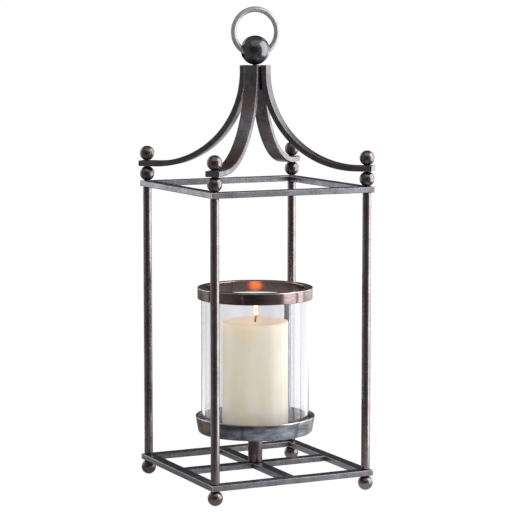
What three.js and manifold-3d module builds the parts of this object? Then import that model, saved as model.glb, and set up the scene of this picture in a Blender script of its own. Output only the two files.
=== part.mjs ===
// Candle lantern: a square cage of round posts and flat bars with ball feet, four swept arms
// that meet under a cross-drilled ball with a hanging ring, and a dish on a short pedestal that
// carries a glass cylinder, its collar ring and a pillar candle.
// Millimetres, +Z up. The origin is on the ground at the centre of the four feet.
import * as THREE from "three";
import { mergeVertices } from "three/addons/utils/BufferGeometryUtils.js";
import Module from "manifold-3d";

const wasm = await Module();
wasm.setup();

// ---- Driving dimensions ----
const POST_SPACING = 187; // post axis to post axis, both ways
const POST_R = 5;
const BAR_WIDTH = 13; // flat bar of both square frames and of the cross
const BAR_THICK = 6.5;
const CAGE_TOP = 344.5; // upper face of the top frame
const BALL_R = 8.5; // feet, spacers and finials
const FOOT_FLAT = 0.2; // how much is faced off under a foot, so that it stands on a flat
const STUD_R = 2.35; // M5 threaded rod, at its mean diameter
const STUD_HOLE_R = 2.65;
const STUD_GRIP = 18; // length of a stud inside a post or a hub
const GAP = 0.3; // space between pieces that touch on the real object

const ARM_WIDTH = 16;
const ARM_THICK = 6.4;
const ARM_HUB_OFFSET = 12.8; // hub axis to the middle of an arm at its top
const ARM_SWEEP_R = 107; // bend radius of an arm's centre line
const ARM_TAIL = 7.5; // how far an arm runs past the corner axis
const ARM_TOP = 478.3;

const HUB_CORE_R = 9.3;
const HUB_CORE_BOTTOM = 450;
const HUB_BALL_R = 16.5;
const HUB_BALL_Z = 495.4;
const RING_TURN = (-9 * Math.PI) / 180; // the drilled ball is screwed home a little off square
const RING_BORE_R = 6.8;
const RING_BORE_DROP = 1.9; // the bore's axis below the ball's centre
const RING_R = 25.35;
const RING_WIRE_R = 3.15;
const RING_RISE = 20.45; // ring centre above the ball's centre, with the ring upright

const PEDESTAL_R = 8.25;
const PEDESTAL_SPIGOT_R = 3.2;
const DISH_BOTTOM = 59.6;
const DISH_HEIGHT = 18.6;
const DISH_FOOT_R = 65.4;
const DISH_RIM_R = 68.5;
const DISH_WALL = 3;
const SCREW_HEAD_R = 5.6;
const SCREW_LENGTH = 14;

const GLASS_R = 61.85;
const GLASS_WALL = 3.5;
const COLLAR_R = 66;
const COLLAR_INNER_R = 56.3;
const COLLAR_BOTTOM = 213.3;
const COLLAR_HEIGHT = 13;
const COLLAR_CROWN = 3; // metal left above the groove

const CANDLE_R = 38;
const CANDLE_HEIGHT = 124.4;
const CANDLE_EDGE = 1.6; // rounding of the top edge
const MELT_DEPTH = 1.4; // dip of the warm wax around the wick
const WICK_R = 1.0;
const WICK_RISE = 9;
const WICK_LEAN = 1.6;

// ---- Worked out from the above ----
const HALF = POST_SPACING / 2;
const FOOT_Z = BALL_R - FOOT_FLAT;
const BASE_BOTTOM = FOOT_Z + BALL_R;
const BASE_TOP = BASE_BOTTOM + BAR_THICK;
const CAGE_BOTTOM = CAGE_TOP - BAR_THICK;
const SPACER_Z = CAGE_TOP + BALL_R;
const TAIL_BOTTOM = SPACER_Z + BALL_R;
const TAIL_MIDDLE = TAIL_BOTTOM + ARM_THICK / 2;
const FINIAL_Z = TAIL_BOTTOM + ARM_THICK + BALL_R;
const CORNER_RADIUS = HALF * Math.SQRT2; // hub axis to a corner axis
const DISH_FLOOR = DISH_BOTTOM + DISH_WALL;
const SEAT = DISH_FLOOR + GAP; // what stands in the dish starts here
const COLLAR_TOP = COLLAR_BOTTOM + COLLAR_HEIGHT;
const GLASS_TOP = COLLAR_TOP - COLLAR_CROWN - GAP;
const CANDLE_TOP = SEAT + CANDLE_HEIGHT;

const CORNERS = [
  { name: "front_left", x: -1, y: -1 },
  { name: "front_right", x: 1, y: -1 },
  { name: "back_right", x: 1, y: 1 },
  { name: "back_left", x: -1, y: 1 },
];

// ---- Finishes ----
const finish = (color, roughness, metalness) => ({ color, roughness, metalness });
const BRONZED_IRON = finish(0x4b4342, 0.42, 0.85);
const BARE_STEEL = finish(0x8f8c8a, 0.35, 0.95);
const BRIGHT_ZINC = finish(0xa9a9a6, 0.4, 0.9);
const CLEAR_GLASS = { ...finish(0xe9eef0, 0.05, 0), transparent: true, opacity: 0.35 };
const IVORY_WAX = finish(0xefe3c4, 0.6, 0);
const CHARRED_COTTON = finish(0x1c1512, 0.9, 0);

// ---- Scene graph helpers ----
const lantern = new THREE.Group();

function piece(name, geometry, look, x = 0, y = 0, z = 0) {
  const mesh = new THREE.Mesh(geometry, new THREE.MeshStandardMaterial(look));
  mesh.name = name;
  mesh.position.set(x, y, z);
  lantern.add(mesh);
  return mesh;
}

// A turned solid about Z from a profile of [radius, height] pairs.
function turned(profile, segments) {
  const points = profile.map(([r, z]) => new THREE.Vector2(r, z));
  return new THREE.LatheGeometry(points, segments).rotateX(Math.PI / 2);
}

// A turned solid whose section closes on itself, such as a tube or a ring.
function turnedRing(profile, segments) {
  return turned([...profile, profile[0]], segments);
}

function extruded(shape, depth, curveSegments = 12) {
  return new THREE.ExtrudeGeometry(shape, { depth, bevelEnabled: false, curveSegments });
}

// ---- Cutting with manifold-3d ----
function toSolid(geometry) {
  const bare = geometry.clone();
  bare.deleteAttribute("normal");
  bare.deleteAttribute("uv");
  const merged = mergeVertices(bare, 1e-4);
  return new wasm.Manifold(
    new wasm.Mesh({
      numProp: 3,
      vertProperties: new Float32Array(merged.attributes.position.array),
      triVerts: new Uint32Array(merged.index.array),
    }),
  );
}

function cut(body, ...tools) {
  let solid = toSolid(body);
  for (const tool of tools) solid = solid.subtract(toSolid(tool));
  const mesh = solid.getMesh();
  const geometry = new THREE.BufferGeometry();
  geometry.setAttribute("position", new THREE.BufferAttribute(mesh.vertProperties, 3));
  geometry.setIndex(new THREE.BufferAttribute(mesh.triVerts, 1));
  geometry.computeVertexNormals();
  return geometry;
}

// An upright drill of radius r between two heights.
function drill(r, low, high, x = 0, y = 0) {
  const shape = new THREE.CylinderGeometry(r, r, high - low, 16).rotateX(Math.PI / 2);
  return shape.translate(x, y, (low + high) / 2);
}

// ---- Balls ----
// Points of a ball's outline from height low to height high, measured from its centre.
function ballArc(r, low, high, steps = 8) {
  const from = Math.asin(low / r);
  const to = Math.asin(high / r);
  return Array.from({ length: steps + 1 }, (_, i) => {
    const angle = from + ((to - from) * i) / steps;
    return [r * Math.cos(angle), r * Math.sin(angle)];
  });
}

const BALL_SEGMENTS = 16;
const holeRim = Math.sqrt(BALL_R ** 2 - STUD_HOLE_R ** 2); // height of a stud hole's edge

function footBall() {
  const arc = ballArc(BALL_R, -BALL_R + FOOT_FLAT, holeRim);
  const floor = -FOOT_Z / 2;
  return turned([[0, -FOOT_Z], ...arc, [STUD_HOLE_R, floor], [0, floor]], BALL_SEGMENTS);
}

function spacerBall() {
  return turnedRing(ballArc(BALL_R, -holeRim, holeRim), BALL_SEGMENTS);
}

function finialBall() {
  const arc = ballArc(BALL_R, -holeRim, BALL_R);
  arc[arc.length - 1] = [0, BALL_R];
  return turned([[0, BALL_R / 2], [STUD_HOLE_R, BALL_R / 2], ...arc], BALL_SEGMENTS);
}

function stud(r, length) {
  return new THREE.CylinderGeometry(r, r, length, 12)
    .rotateX(Math.PI / 2)
    .translate(0, 0, length / 2);
}

// ---- Cage: feet, square frames, posts ----
// One mitred side of a square frame, along X on the -Y side, with a stud notch in each mitre.
function frameBar() {
  const outer = HALF + BAR_WIDTH / 2;
  const inner = HALF - BAR_WIDTH / 2;
  const back = GAP / Math.SQRT2; // the mitre face stands back along X
  const notch = STUD_HOLE_R / Math.SQRT2;
  const shape = new THREE.Shape();
  shape.moveTo(-outer + back, -outer);
  shape.lineTo(outer - back, -outer);
  shape.lineTo(HALF + notch - back, -HALF - notch);
  shape.absarc(HALF - back, -HALF, STUD_HOLE_R, -Math.PI / 4, (-5 * Math.PI) / 4, true);
  shape.lineTo(inner - back, -inner);
  shape.lineTo(-inner + back, -inner);
  shape.lineTo(-HALF + notch + back, -HALF + notch);
  shape.absarc(-HALF + back, -HALF, STUD_HOLE_R, Math.PI / 4, (-3 * Math.PI) / 4, true);
  return extruded(shape, BAR_THICK, 8);
}

function addSquareFrame(prefix, bottom) {
  ["front", "right", "back", "left"].forEach((side, i) => {
    const bar = piece(`${prefix}_${side}`, frameBar(), BRONZED_IRON, 0, 0, bottom);
    bar.rotation.z = (i * Math.PI) / 2;
  });
}

function addCross() {
  const inside = HALF - BAR_WIDTH / 2 - GAP;
  const z = BASE_BOTTOM + BAR_THICK / 2;
  const long = new THREE.BoxGeometry(2 * inside, BAR_WIDTH, BAR_THICK);
  const hole = drill(PEDESTAL_SPIGOT_R + GAP, -BAR_THICK, BAR_THICK);
  piece("cross_bar_long", cut(long, hole), BRONZED_IRON, 0, 0, z);
  const reach = inside - BAR_WIDTH / 2 - GAP;
  const middle = inside - reach / 2;
  for (const [side, sign] of [["front", -1], ["back", 1]]) {
    const short = new THREE.BoxGeometry(BAR_WIDTH, reach, BAR_THICK);
    piece(`cross_bar_${side}`, short, BRONZED_IRON, 0, sign * middle, z);
  }
}

function post() {
  const low = BASE_TOP + GAP;
  const high = CAGE_BOTTOM - GAP;
  const profile = [
    [0, low + STUD_GRIP],
    [STUD_HOLE_R, low + STUD_GRIP],
    [STUD_HOLE_R, low],
    [POST_R, low],
    [POST_R, high],
    [STUD_HOLE_R, high],
    [STUD_HOLE_R, high - STUD_GRIP],
    [0, high - STUD_GRIP],
  ];
  return turned(profile, 20);
}

function addCorner({ name, x, y }) {
  const at = [x * HALF, y * HALF];
  piece(`foot_ball_${name}`, footBall(), BRONZED_IRON, ...at, FOOT_Z);
  const footFloor = FOOT_Z / 2 + GAP;
  const footStudTop = BASE_TOP + STUD_GRIP - 1;
  piece(`foot_stud_${name}`, stud(STUD_R, footStudTop - footFloor), BRIGHT_ZINC, ...at, footFloor);
  piece(`post_${name}`, post(), BRONZED_IRON, ...at);
  const low = CAGE_BOTTOM - STUD_GRIP + 1;
  const high = FINIAL_Z + BALL_R / 2 - GAP;
  piece(`corner_stud_${name}`, stud(STUD_R, high - low), BRIGHT_ZINC, ...at, low);
  piece(`spacer_ball_${name}`, spacerBall(), BRONZED_IRON, ...at, SPACER_Z);
  piece(`finial_ball_${name}`, finialBall(), BRONZED_IRON, ...at, FINIAL_Z);
}

// ---- Crown: arms, hub, ring ----
// An arm's side view, x outwards from the hub axis and y up, swept about a centre outside it.
function armShape() {
  const half = ARM_THICK / 2;
  const centreX = ARM_HUB_OFFSET + ARM_SWEEP_R;
  const centreY = TAIL_MIDDLE + ARM_SWEEP_R;
  const end = CORNER_RADIUS + ARM_TAIL;
  const shape = new THREE.Shape();
  shape.moveTo(ARM_HUB_OFFSET - half, ARM_TOP);
  shape.lineTo(ARM_HUB_OFFSET - half, centreY);
  shape.absarc(centreX, centreY, ARM_SWEEP_R + half, Math.PI, 1.5 * Math.PI, false);
  shape.lineTo(end, TAIL_MIDDLE - half);
  shape.lineTo(end, TAIL_MIDDLE + half);
  shape.lineTo(centreX, TAIL_MIDDLE + half);
  shape.absarc(centreX, centreY, ARM_SWEEP_R - half, 1.5 * Math.PI, Math.PI, true);
  shape.lineTo(ARM_HUB_OFFSET + half, ARM_TOP);
  return shape;
}

function addArms() {
  const blank = extruded(armShape(), ARM_WIDTH, 14)
    .translate(0, 0, -ARM_WIDTH / 2)
    .rotateX(Math.PI / 2);
  const hole = drill(STUD_HOLE_R, TAIL_BOTTOM - 2, TAIL_BOTTOM + ARM_THICK + 2, CORNER_RADIUS);
  const arm = cut(blank, hole);
  for (const { name, x, y } of CORNERS) {
    piece(`arm_${name}`, arm.clone(), BRONZED_IRON).rotation.z = Math.atan2(y, x);
  }
}

function addHub() {
  const top = ARM_TOP;
  const core = [
    [0, HUB_CORE_BOTTOM],
    [HUB_CORE_R, HUB_CORE_BOTTOM],
    [HUB_CORE_R, top],
    [STUD_HOLE_R, top],
    [STUD_HOLE_R, top - STUD_GRIP],
    [0, top - STUD_GRIP],
  ];
  piece("hub_core", turned(core, 24), BRONZED_IRON);

  const boreZ = HUB_BALL_Z - RING_BORE_DROP;
  const studTop = boreZ - RING_BORE_R - 1.5;
  const studLow = top - STUD_GRIP + 1;
  piece("hub_stud", stud(STUD_R, studTop - studLow), BRIGHT_ZINC, 0, 0, studLow);

  const ball = new THREE.SphereGeometry(HUB_BALL_R, 26, 16).rotateX(Math.PI / 2);
  const bore = new THREE.CylinderGeometry(RING_BORE_R, RING_BORE_R, 3 * HUB_BALL_R, 20)
    .rotateZ(Math.PI / 2)
    .translate(0, 0, -RING_BORE_DROP);
  const socket = drill(STUD_HOLE_R, -HUB_BALL_R - 1, studTop + GAP - HUB_BALL_Z);
  const drilled = cut(ball, bore, socket);
  piece("hub_ball", drilled, BRONZED_IRON, 0, 0, HUB_BALL_Z).rotation.z = RING_TURN;

  const ring = new THREE.TorusGeometry(RING_R, RING_WIRE_R, 10, 42).rotateX(Math.PI / 2);
  piece("hanging_ring", ring, BARE_STEEL, 0, 0, HUB_BALL_Z + RING_RISE).rotation.z = RING_TURN;
}

// ---- Candle stand: pedestal, dish, glass, collar, candle ----
function addPedestal() {
  const foot = BASE_TOP + GAP;
  const top = DISH_BOTTOM - GAP;
  const tapped = top - SCREW_LENGTH;
  const profile = [
    [0, BASE_BOTTOM],
    [PEDESTAL_SPIGOT_R, BASE_BOTTOM],
    [PEDESTAL_SPIGOT_R, foot],
    [PEDESTAL_R, foot],
    [PEDESTAL_R, top],
    [STUD_HOLE_R, top],
    [STUD_HOLE_R, tapped],
    [0, tapped],
  ];
  piece("pedestal", turned(profile, 24), BRONZED_IRON);
}

function addDish() {
  const rim = DISH_BOTTOM + DISH_HEIGHT;
  const sink = SCREW_HEAD_R + GAP; // countersink at the floor
  const neck = STUD_HOLE_R + GAP;
  const profile = [
    [neck, DISH_BOTTOM],
    [DISH_FOOT_R - 1, DISH_BOTTOM],
    [DISH_FOOT_R, DISH_BOTTOM + 1],
    [DISH_RIM_R, rim],
    [DISH_RIM_R - DISH_WALL, rim],
    [DISH_FOOT_R - DISH_WALL, DISH_FLOOR],
    [sink, DISH_FLOOR],
  ];
  piece("dish", turnedRing(profile, 48), BRONZED_IRON);
}

function addDishScrew() {
  const headTop = DISH_FLOOR - 0.1;
  const profile = [
    [0, DISH_BOTTOM - SCREW_LENGTH + 1],
    [STUD_R, DISH_BOTTOM - SCREW_LENGTH + 1],
    [STUD_R, DISH_BOTTOM - 0.1],
    [SCREW_HEAD_R, headTop],
    [0, headTop],
  ];
  piece("dish_screw", turned(profile, 16), BRIGHT_ZINC);
}

function addGlass() {
  const inner = GLASS_R - GLASS_WALL;
  const profile = [[inner, SEAT], [GLASS_R, SEAT], [GLASS_R, GLASS_TOP], [inner, GLASS_TOP]];
  piece("glass_cylinder", turnedRing(profile, 48), CLEAR_GLASS);
}

function addCollar() {
  const grooveTop = COLLAR_TOP - COLLAR_CROWN;
  const grooveOuter = GLASS_R + GAP;
  const grooveInner = GLASS_R - GLASS_WALL - GAP;
  const profile = [
    [COLLAR_INNER_R, COLLAR_BOTTOM],
    [grooveInner, COLLAR_BOTTOM],
    [grooveInner, grooveTop],
    [grooveOuter, grooveTop],
    [grooveOuter, COLLAR_BOTTOM],
    [COLLAR_R, COLLAR_BOTTOM],
    [COLLAR_R, COLLAR_TOP],
    [COLLAR_INNER_R, COLLAR_TOP],
  ];
  piece("collar_ring", turnedRing(profile, 48), BRONZED_IRON);
}

function addCandle() {
  const wickHole = WICK_R + GAP;
  const wickFloor = CANDLE_TOP - 15;
  const profile = [
    [0, SEAT],
    [CANDLE_R, SEAT],
    [CANDLE_R, CANDLE_TOP - CANDLE_EDGE],
    [CANDLE_R - 0.3 * CANDLE_EDGE, CANDLE_TOP - 0.3 * CANDLE_EDGE],
    [CANDLE_R - CANDLE_EDGE, CANDLE_TOP],
    [0.8 * CANDLE_R, CANDLE_TOP - 0.3 * MELT_DEPTH],
    [0.35 * CANDLE_R, CANDLE_TOP - MELT_DEPTH],
    [wickHole, CANDLE_TOP - MELT_DEPTH],
    [wickHole, wickFloor],
    [0, wickFloor],
  ];
  piece("candle", turned(profile, 40), IVORY_WAX);
}

function addWick() {
  const wax = CANDLE_TOP - MELT_DEPTH;
  const path = new THREE.CatmullRomCurve3([
    new THREE.Vector3(0, 0, CANDLE_TOP - 14),
    new THREE.Vector3(0, 0, wax),
    new THREE.Vector3(0.25 * WICK_LEAN, 0, wax + 0.5 * WICK_RISE),
    new THREE.Vector3(WICK_LEAN, 0, wax + WICK_RISE),
  ]);
  const section = new THREE.Shape().absarc(0, 0, WICK_R, 0, 2 * Math.PI, false);
  const options = { steps: 10, extrudePath: path, curveSegments: 5 };
  piece("wick", new THREE.ExtrudeGeometry(section, options), CHARRED_COTTON);
}

addSquareFrame("base_bar", BASE_BOTTOM);
addSquareFrame("top_bar", CAGE_BOTTOM);
addCross();
CORNERS.forEach(addCorner);
addArms();
addHub();
addPedestal();
addDish();
addDishScrew();
addGlass();
addCollar();
addCandle();
addWick();

export default lantern;
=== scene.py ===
"""Finished looks of the candle lantern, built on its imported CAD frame.

Everything is in metres, +Z up, with the origin on the ground at the centre of the four feet.
Each sub-assembly is a class: its sizes are fields and its methods make and dress its pieces.
"""

import logging
import math
from collections.abc import Iterable, Sequence
from dataclasses import dataclass, field
from enum import Enum

import bmesh
import bpy
from mathutils import Matrix, Vector, noise


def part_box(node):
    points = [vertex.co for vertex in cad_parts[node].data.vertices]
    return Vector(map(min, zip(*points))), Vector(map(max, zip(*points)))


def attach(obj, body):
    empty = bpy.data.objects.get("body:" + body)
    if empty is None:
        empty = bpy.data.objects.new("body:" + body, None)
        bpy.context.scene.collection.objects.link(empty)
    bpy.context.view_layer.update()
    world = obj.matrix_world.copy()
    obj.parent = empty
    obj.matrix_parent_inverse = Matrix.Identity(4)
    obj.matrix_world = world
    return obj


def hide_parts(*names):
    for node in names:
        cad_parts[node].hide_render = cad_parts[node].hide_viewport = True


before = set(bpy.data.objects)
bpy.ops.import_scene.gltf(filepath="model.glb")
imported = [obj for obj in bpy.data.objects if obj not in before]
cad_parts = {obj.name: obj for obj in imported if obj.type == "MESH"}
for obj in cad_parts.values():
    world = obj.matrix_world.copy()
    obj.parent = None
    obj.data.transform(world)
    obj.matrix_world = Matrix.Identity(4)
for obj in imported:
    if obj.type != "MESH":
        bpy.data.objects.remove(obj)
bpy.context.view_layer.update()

MM = 0.001
TINY = 1e-7
SMOOTH_ANGLE = math.radians(38)

Colour = tuple[float, float, float]
Point = tuple[float, float]
Outline = list[Point]
Socket = bpy.types.NodeSocket
Inputs = dict[str | int, object]
Thing = bpy.types.Object

RISE: Point = (0.0, 1.0)
FALL: Point = (1.0, 0.0)
# Where most values of a noise pattern lie.
NOISE: Point = (0.3, 0.7)
# Cosines between the bevelled and the true normal, from a sharp edge to a flat face.
EDGE: Point = (0.78, 0.985)
# Open sky over a point, from a crevice to the open.
SKY: Point = (0.15, 0.75)

log = logging.getLogger("lantern")


class Body(Enum):
    """The bodies that pieces ride on."""

    LANTERN = "lantern"
    RING = "ring"
    GLASS = "glass"
    COLLAR = "collar"
    CANDLE = "candle_and_wick"


class Slot(Enum):
    """The record's material slots."""

    BARS = "frame_iron"
    POSTS = "post_iron"
    ARMS = "arm_iron"
    BALLS = "ball_iron"
    RING = "ring_steel"
    PEDESTAL = "pedestal_iron"
    DISH = "dish_iron"
    COLLAR = "collar_iron"
    STUDS = "stud_zinc"
    GLASS = "clear_glass"
    WAX = "ivory_wax"
    WICK = "charred_wick"


class Corner(Enum):
    """The cage's corners, each with its signs along X and Y."""

    FRONT_LEFT = (-1, -1)
    FRONT_RIGHT = (1, -1)
    BACK_RIGHT = (1, 1)
    BACK_LEFT = (-1, 1)

    @property
    def label(self) -> str:
        """The corner's name as the CAD nodes have it."""
        return self.name.lower()

    @property
    def bearing(self) -> float:
        """The corner's direction from the hub axis, in radians from +X."""
        return math.atan2(self.value[1], self.value[0])


class Side(Enum):
    """The sides of a square frame, each with the axis that it crosses and its sign on it."""

    FRONT = (1, -1)
    RIGHT = (0, 1)
    BACK = (1, 1)
    LEFT = (0, -1)

    @property
    def label(self) -> str:
        """The side's name as the CAD nodes have it."""
        return self.name.lower()


class BallSeat(Enum):
    """Where a corner ball sits, which says how its CAD box gives its centre."""

    FOOT = "foot_ball"
    SPACER = "spacer_ball"
    FINIAL = "finial_ball"


# ---- Node graphs ----


class Graph:
    """A node tree, wired a node at a time."""

    def __init__(self, tree: bpy.types.NodeTree) -> None:
        """Takes up a tree."""
        self.tree = tree

    def node(
        self, kind: str, inputs: Inputs | None = None, **settings: object
    ) -> bpy.types.Node:
        """Adds a node.

        Args:
            kind: The node's type name.
            inputs: Values or sockets for its inputs, by name or place.
            **settings: Properties to set on it.

        Returns:
            The new node.
        """
        made = self.tree.nodes.new(kind)
        for key, value in settings.items():
            setattr(made, key, value)
        for key, value in (inputs or {}).items():
            self.feed(made.inputs[key], value)
        return made

    def feed(self, socket: Socket, value: object) -> None:
        """Links a socket to another, or sets its value.

        Args:
            socket: The input socket.
            value: An output socket, or a plain value.
        """
        if isinstance(value, bpy.types.NodeSocket):
            self.tree.links.new(value, socket)
        else:
            socket.default_value = value

    def maths(self, operation: str, a: object, b: object = 0.0, c: object = 0.0) -> Socket:
        """Adds a Math node between sockets or numbers, and gives its result."""
        return self.node("ShaderNodeMath", {0: a, 1: b, 2: c}, operation=operation).outputs[0]

    def vectors(self, operation: str, a: object, b: object = (0.0, 0.0, 0.0)) -> Socket:
        """Adds a Vector Math node.

        Args:
            operation: The operation's name.
            a: First input, a socket or a vector.
            b: Second input, a socket or a vector.

        Returns:
            The result socket: a number for a length or a dot product, or else a vector.
        """
        made = self.node("ShaderNodeVectorMath", {0: a, 1: b}, operation=operation)
        return made.outputs["Value" if operation in ("LENGTH", "DOT_PRODUCT") else "Vector"]

    def span(self, value: Socket, source: Point, target: Point) -> Socket:
        """Maps a value from one range to another, clamped.

        Args:
            value: The value socket.
            source: Low and high of the incoming range.
            target: What low and high become.

        Returns:
            The mapped value socket.
        """
        ends = dict(zip(("From Min", "From Max", "To Min", "To Max"), (*source, *target)))
        ends["Value"] = value
        return self.node("ShaderNodeMapRange", ends, clamp=True).outputs["Result"]


class Shading(Graph):
    """The node tree of one material."""

    def __init__(self, name: str) -> None:
        """Starts a material with a Principled shader.

        Args:
            name: The material's name.
        """
        self.material = bpy.data.materials.new(name)
        self.material.use_nodes = True
        super().__init__(self.material.node_tree)
        self.shader = self.tree.nodes["Principled BSDF"]
        self.place = self.node("ShaderNodeTexCoord").outputs["Object"]

    def set(self, **values: object) -> None:
        """Sets or links inputs of the Principled shader, named with _ for a space."""
        for key, value in values.items():
            self.feed(self.shader.inputs[key.replace("_", " ")], value)

    def axes(self) -> bpy.types.bpy_prop_collection:
        """The X, Y and Z of the place on the piece."""
        return self.node("ShaderNodeSeparateXYZ", {0: self.place}).outputs

    def grain(
        self,
        scale: float,
        detail: float = 4,
        rough: float = 0.55,
        stretch: Sequence[float] = (1, 1, 1),
        warp: float = 0,
    ) -> Socket:
        """Adds a noise pattern that is fixed to the piece.

        Args:
            scale: Features per metre.
            detail: Octaves.
            rough: Share that each finer octave keeps.
            stretch: Scale factors along X, Y and Z.
            warp: Distortion of the pattern.

        Returns:
            The noise value socket.
        """
        mapping = self.node("ShaderNodeMapping", {"Vector": self.place, "Scale": stretch})
        inputs = {
            "Vector": mapping.outputs["Vector"],
            "Scale": scale,
            "Detail": detail,
            "Roughness": rough,
            "Distortion": warp,
        }
        return self.node("ShaderNodeTexNoise", inputs).outputs[0]

    def blend(self, share: object, a: object, b: object, how: str = "MIX") -> Socket:
        """Mixes two colours.

        Args:
            share: How much of b shows, a socket or a number.
            a: First colour or socket.
            b: Second colour or socket.
            how: The blend type.

        Returns:
            The colour socket.
        """
        inputs = {0: share, 6: opaque(a), 7: opaque(b)}
        return self.node("ShaderNodeMix", inputs, data_type="RGBA", blend_type=how).outputs[2]

    def toned(self, colour: object, value: Socket) -> Socket:
        """Multiplies a colour by a value.

        Args:
            colour: The colour or its socket.
            value: The value socket.

        Returns:
            The colour socket.
        """
        grey = self.node("ShaderNodeCombineColor", {0: value, 1: value, 2: value}).outputs[0]
        return self.blend(1.0, colour, grey, "MULTIPLY")

    def edges(self, width: float) -> Socket:
        """Finds the edges of the piece.

        Args:
            width: How far from an edge the mask reaches, in metres.

        Returns:
            A value socket, 1 on an edge and 0 away from it.
        """
        bevel = self.node("ShaderNodeBevel", {"Radius": width}, samples=6).outputs["Normal"]
        flat = self.node("ShaderNodeNewGeometry").outputs["Normal"]
        return self.span(self.vectors("DOT_PRODUCT", bevel, flat), EDGE, FALL)

    def painted_crevice_shade(self, reach: float) -> Socket:
        """Finds where neighbouring surfaces hide the sky, for painted shade.

        Args:
            reach: How far a neighbour counts, in metres.

        Returns:
            A value socket, 1 in the open and 0 in a crevice.
        """
        occlusion = self.node("ShaderNodeAmbientOcclusion", {"Distance": reach}, samples=6)
        return self.span(occlusion.outputs["AO"], SKY, RISE)

    def relief(self, height: Socket, depth: float, below: Socket | None = None) -> Socket:
        """Adds a bump layer.

        Args:
            height: The height value socket.
            depth: Its depth in metres.
            below: The normal of the layer beneath it.

        Returns:
            The normal socket.
        """
        bump = self.node("ShaderNodeBump", {"Distance": depth, "Height": height})
        if below is not None:
            self.feed(bump.inputs["Normal"], below)
        return bump.outputs["Normal"]


def opaque(value: object) -> object:
    """Gives a plain colour its alpha, and leaves a socket as it is."""
    return (*value, 1.0) if isinstance(value, tuple) and len(value) == 3 else value


# ---- Finishes ----


@dataclass(frozen=True)
class Stain:
    """One patch of colour at a place on the piece: a stain, and on the dish's front and some balls
    a painted reflection.
    """

    place: Colour
    reach: float
    share: float = 0.8
    colour: Colour | None = None
    flat: float = 1.0


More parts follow.
